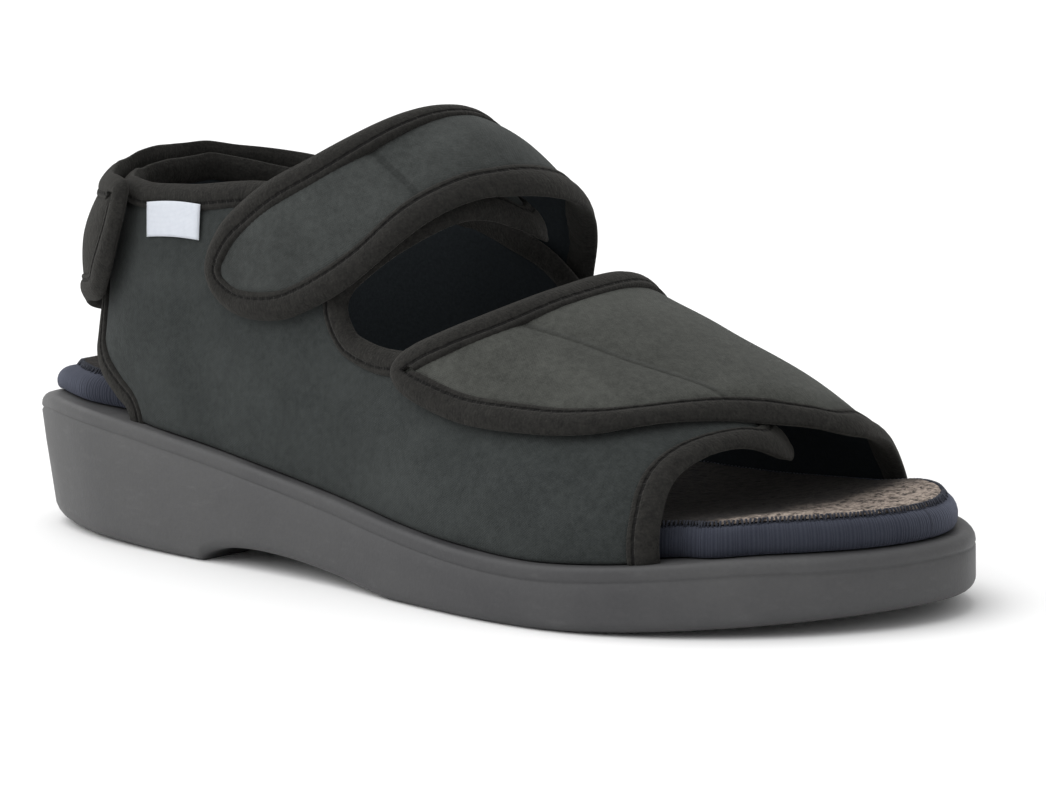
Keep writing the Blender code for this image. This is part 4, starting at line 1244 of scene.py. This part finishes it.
def tape_finish():
    """Brown-black stretch knit: fine ribs across the tape, a dull nap, and dents where the stitches pull."""
    material, shader, place, flat = new_finish("edge_tape", 0.95, 0.08, (0.80, 0.78, 0.72, 1), 0.10)
    u, v, w = flat.parts()
    rib = u.wave(TAPE_RIB_PITCH) * 0.5 + 0.5
    nap_fine = place.grain(0.00060, 3, 0.7)
    heather = place.grain(0.0017, 4, 0.7)
    on_line = 1 - (v - TAPE_STITCH_REACH).distance().between(0.0002, 0.0006)
    dash = u.wave(STITCH_LENGTH).between(-0.1, 0.4)
    # The stitch line is painted darker: painted shade in the groove that the stitches pull into the tape.
    shade = heather * 1.30 + nap_fine * 1.20 - on_line * 0.60 - 0.80
    height = rib * 0.08 + nap_fine * 0.9 + heather * 1.3 - on_line * (0.8 + dash * 1.0)
    lay_on(shader, shade.mix(TAPE_DARK, TAPE_COLOUR), height, 0.00030)
    return material


TAPE = tape_finish()


def bind(name, places, low, high, extra, start=None, end=None):
    piece = tape(name, places, low, high, extra, start, end)
    piece.data.materials.append(TAPE)
    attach(piece, "root")
    return piece


bind("upper_tape", UPPER, -WALL, 0.0, tab_sink, BOUND_FROM, BOUND_TO)
bind("heel_opening_tape", UPPER, -WALL, 0.0, tab_sink, HEEL_OPENING_FROM, HEEL_OPENING_TO)

# Straps: three padded straps of the same cloth and foam, bound with tape, with hook tape under their free
# ends. The instep strap and the wide forepart flap are sewn on the inner side and close on the outer side,
# and the heel strap goes round the back.
STRAP_THICKNESS = 0.0032
STRAP_LIFT = 0.0008
STRAP_STEP = 0.0011
STRAP_GROOVE = 0.0001
FLAP_CURL = 0.0036
# the numbers of the flap's places between which its tape runs: the rest is sewn into the sole
FLAP_TAPE_FROM = 16.35
FLAP_TAPE_TO = 13.65
# the instep strap's and the flap's face cloth, painted lighter than the upper's: painted light on their tops,
# which face the light from above
STRAP_FACE_PAINTED_LIGHT = (0.0560, 0.0610, 0.0590, 1)
FLAP_FACE_PAINTED_LIGHT = (0.0740, 0.0765, 0.0690, 1)
INSTEP_STRAP = [
    (-0.308, 0.399), (-0.315, 0.440), (-0.327, 0.487), (-0.350, 0.553), (-0.373, 0.619),
    (-0.400, 0.698), (-0.420, 0.766), (-0.438, 0.840), (-0.452, 0.920), (-0.461, 1.010),
    (-0.462, 1.110), (-0.455, 1.240), (-0.440, 1.370), (-0.422, 1.490), (-0.414, 1.540),
    (-0.422, 1.580), (-0.470, 1.595), (-0.516, 1.590), (-0.530, 1.550), (-0.538, 1.470),
    (-0.554, 1.340), (-0.568, 1.200), (-0.572, 1.060), (-0.566, 0.940), (-0.553, 0.846),
    (-0.538, 0.751), (-0.520, 0.652), (-0.498, 0.562), (-0.468, 0.476), (-0.432, 0.398),
    (-0.403, 0.351), (-0.370, 0.318), (-0.343, 0.310), (-0.319, 0.328), (-0.308, 0.362),
]
FOREPART_FLAP = [
    (-0.548, 0.366), (-0.553, 0.409), (-0.566, 0.455), (-0.587, 0.529), (-0.607, 0.627),
    (-0.621, 0.740), (-0.629, 0.871), (-0.630, 1.000), (-0.626, 1.120), (-0.617, 1.280),
    (-0.604, 1.450), (-0.592, 1.620), (-0.583, 1.800), (-0.580, 2.120), (-0.580, 2.120),
    (-0.720, 2.120), (-0.862, 2.120), (-0.862, 2.120), (-0.867, 1.880), (-0.877, 1.680),
    (-0.888, 1.480), (-0.893, 1.320), (-0.889, 1.200), (-0.879, 1.080), (-0.864, 0.960),
    (-0.849, 0.864), (-0.836, 0.767), (-0.824, 0.678), (-0.810, 0.596), (-0.793, 0.515),
    (-0.770, 0.442), (-0.739, 0.395), (-0.700, 0.364), (-0.650, 0.341), (-0.600, 0.328),
    (-0.572, 0.326), (-0.556, 0.338),
]
HEEL_STRAP = [
    (-0.164, 0.262), (-0.186, 0.320), (-0.199, 0.385), (-0.204, 0.450), (-0.200, 0.496),
    (-0.180, 0.512), (-0.120, 0.531), (-0.060, 0.582), (-0.030, 0.624), (0.000, 0.640),
    (0.030, 0.630), (0.060, 0.603), (0.090, 0.575), (0.120, 0.552), (0.180, 0.519),
    (0.240, 0.500), (0.300, 0.498), (0.345, 0.492), (0.366, 0.472), (0.370, 0.420),
    (0.358, 0.355), (0.330, 0.305), (0.290, 0.280), (0.200, 0.262), (0.130, 0.244),
    (0.060, 0.234), (0.000, 0.231), (-0.060, 0.233), (-0.120, 0.236), (-0.148, 0.243),
]
# Each row is a girth share and how far the strap stands off the last there, in metres.
INSTEP_LIFT = [(0.30, 0.0000), (0.50, 0.0006), (0.75, 0.0030), (1.00, 0.0042), (1.25, 0.0030), (1.60, 0.0000)]
FLAP_LIFT = [
    (0.30, 0.0000), (0.60, 0.0006), (0.85, 0.0020), (1.05, 0.0028), (1.25, 0.0018), (1.45, -0.0010),
    (1.70, -0.0040), (2.10, -0.0040),
]
# The flap's front edge: girth shares, and how far forward it lies there as a share of LENGTH.
FLAP_FRONT = [
    (0.60, 0.810), (0.68, 0.824), (0.77, 0.836), (0.86, 0.849), (0.96, 0.864), (1.08, 0.879), (1.32, 0.893),
]
HEEL_STRAP_LIFT = [(0.22, 0.0012), (0.38, 0.0032), (0.54, 0.0012), (0.70, 0.0010)]
INSTEP_SEAM = [
    (-0.425, 0.818), (-0.447, 0.806), (-0.473, 0.794), (-0.502, 0.775), (-0.530, 0.752),
]
FLAP_SEAM = [
    (-0.600, 0.655), (-0.673, 0.712), (-0.728, 0.745), (-0.777, 0.788), (-0.820, 0.828),
]


def lifted(table):
    return lambda around, girth: read_table(table, girth, 1)


def flap_lifted(around, girth):
    """The flap's lift, with its front edge curled down over the toes."""
    edge = np.interp(girth, *zip(*FLAP_FRONT))
    curl = ease((-around / LENGTH - edge + 0.040) / 0.044) * ease((girth - 0.50) / 0.40)
    return read_table(FLAP_LIFT, girth, 1) - FLAP_CURL * curl * (1 - ease((girth - 1.15) / 0.45))


def strap(name, node, places, extra, finish, creases, seam=None, start=None, end=None, groove=GROOVE):
    low, high = STRAP_LIFT, STRAP_LIFT + STRAP_THICKNESS
    cloth = wall_panel(name + "_cloth", places, low, high, extra, creases, seam, STRAP_STEP, groove)
    cloth.data.materials.append(finish)
    cloth.data.materials.append(LINING)
    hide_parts(node)
    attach(cloth, "root")
    bind(name + "_tape", places, low, high, extra, start, end)


# the instep strap's face cloth is painted lighter than the upper's, as painted light
strap(
    "instep_strap", "instep_strap", INSTEP_STRAP, lifted(INSTEP_LIFT),
    face_finish("strap_face_painted_light", STRAP_FACE_PAINTED_LIGHT, half_tone(STRAP_FACE_PAINTED_LIGHT)),
    [(-0.40, 0.50, 40, 0.018, 0.008, 0.0004), (-0.47, 0.90, 20, 0.020, 0.008, -0.0004)],
    INSTEP_SEAM,
)
# the flap's face cloth is painted lighter than the upper's, as painted light
strap(
    "forepart_flap", "forepart_flap", FOREPART_FLAP, flap_lifted,
    face_finish("flap_face_painted_light", FLAP_FACE_PAINTED_LIGHT, half_tone(FLAP_FACE_PAINTED_LIGHT)),
    [(-0.66, 0.62, 30, 0.022, 0.010, 0.0005), (-0.76, 0.98, 15, 0.030, 0.010, -0.0004)],
    FLAP_SEAM, FLAP_TAPE_FROM, FLAP_TAPE_TO,
)
strap(
    "heel_strap", "heel_strap", HEEL_STRAP, lifted(HEEL_STRAP_LIFT), TAPE,
    [(-0.10, 0.40, 90, 0.012, 0.010, 0.0005)], groove=STRAP_GROOVE,
)

# Label: a bare white tag of satin weave, folded under at its ends and sewn flat below the collar on the outer
# side, between the heel strap and the instep strap.
LABEL_THICKNESS = 0.0005
LABEL_COLOUR = (0.66, 0.69, 0.74, 1)
LABEL_SHADE = (0.52, 0.55, 0.61, 1)
LABEL_LENGTH = 0.0196
LABEL_HEIGHT = 0.0096
LABEL_PARTS = 24
WEFT_PITCH = 0.00034
WARP_PITCH = 0.00045
LABEL = [
    (-0.222, 0.394), (-0.219, 0.465), (-0.289, 0.491), (-0.291, 0.419),
]


def label():
    """Its two faces follow the cloth, and its edges are rounded."""
    rear_low, rear_high, front_high, front_low = np.array(LABEL) * (LENGTH, 1)
    s, t = (g.ravel()[:, None] for g in np.meshgrid(*[np.linspace(0, 1, LABEL_PARTS + 1)] * 2, indexing="ij"))
    low = rear_low * (1 - s) + front_low * s
    high = rear_high * (1 - s) + front_high * s
    points = low * (1 - t) + high * t
    flats = np.hstack([s * LABEL_LENGTH, t * LABEL_HEIGHT])
    edge = np.minimum(flats, (LABEL_LENGTH, LABEL_HEIGHT) - flats).min(1)
    rounded = LABEL_THICKNESS * np.sqrt(np.clip(edge / LABEL_THICKNESS, 0.05, 1))
    base = TAPE_STEP + GAP
    outer = on_last(points[:, 0], points[:, 1], base + rounded)
    inner = on_last(points[:, 0], points[:, 1], np.full(len(points), base))
    row = LABEL_PARTS + 1
    shift = row * row
    cells = [
        (k * row + m, (k + 1) * row + m, (k + 1) * row + m + 1, k * row + m + 1)
        for k in range(LABEL_PARTS)
        for m in range(LABEL_PARTS)
    ]
    faces = cells + [tuple(i + shift for i in reversed(cell)) for cell in cells]
    loop = [k * row for k in range(LABEL_PARTS)] + [LABEL_PARTS * row + m for m in range(LABEL_PARTS)]
    loop += [(LABEL_PARTS - k) * row + LABEL_PARTS for k in range(LABEL_PARTS)]
    loop += [LABEL_PARTS - m for m in range(LABEL_PARTS)]
    faces += [(b, a, a + shift, b + shift) for a, b in zip(loop, loop[1:] + loop[:1])]
    piece = mesh_piece("woven_label", np.vstack([outer, inner]), faces, np.vstack([flats, flats]))
    return faced_outward(piece)


def label_finish():
    """White satin weave with fine threads across."""
    material, shader, place, flat = new_finish("white_satin", 0.55, 0.1, (1, 1, 1, 1), 0.4)
    u, v, w = flat.parts()
    weft = v.wave(WEFT_PITCH) * 0.5 + 0.5
    warp = u.wave(WARP_PITCH) * 0.5 + 0.5
    shade = weft * 0.25 + warp * 0.15 + place.grain(0.0015, 2) * 0.6
    lay_on(shader, shade.mix(LABEL_SHADE, LABEL_COLOUR), weft + warp * 0.6, 0.00005)
    return material


woven_label = label()
woven_label.data.materials.append(label_finish())
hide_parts("side_label")
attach(woven_label, "root")
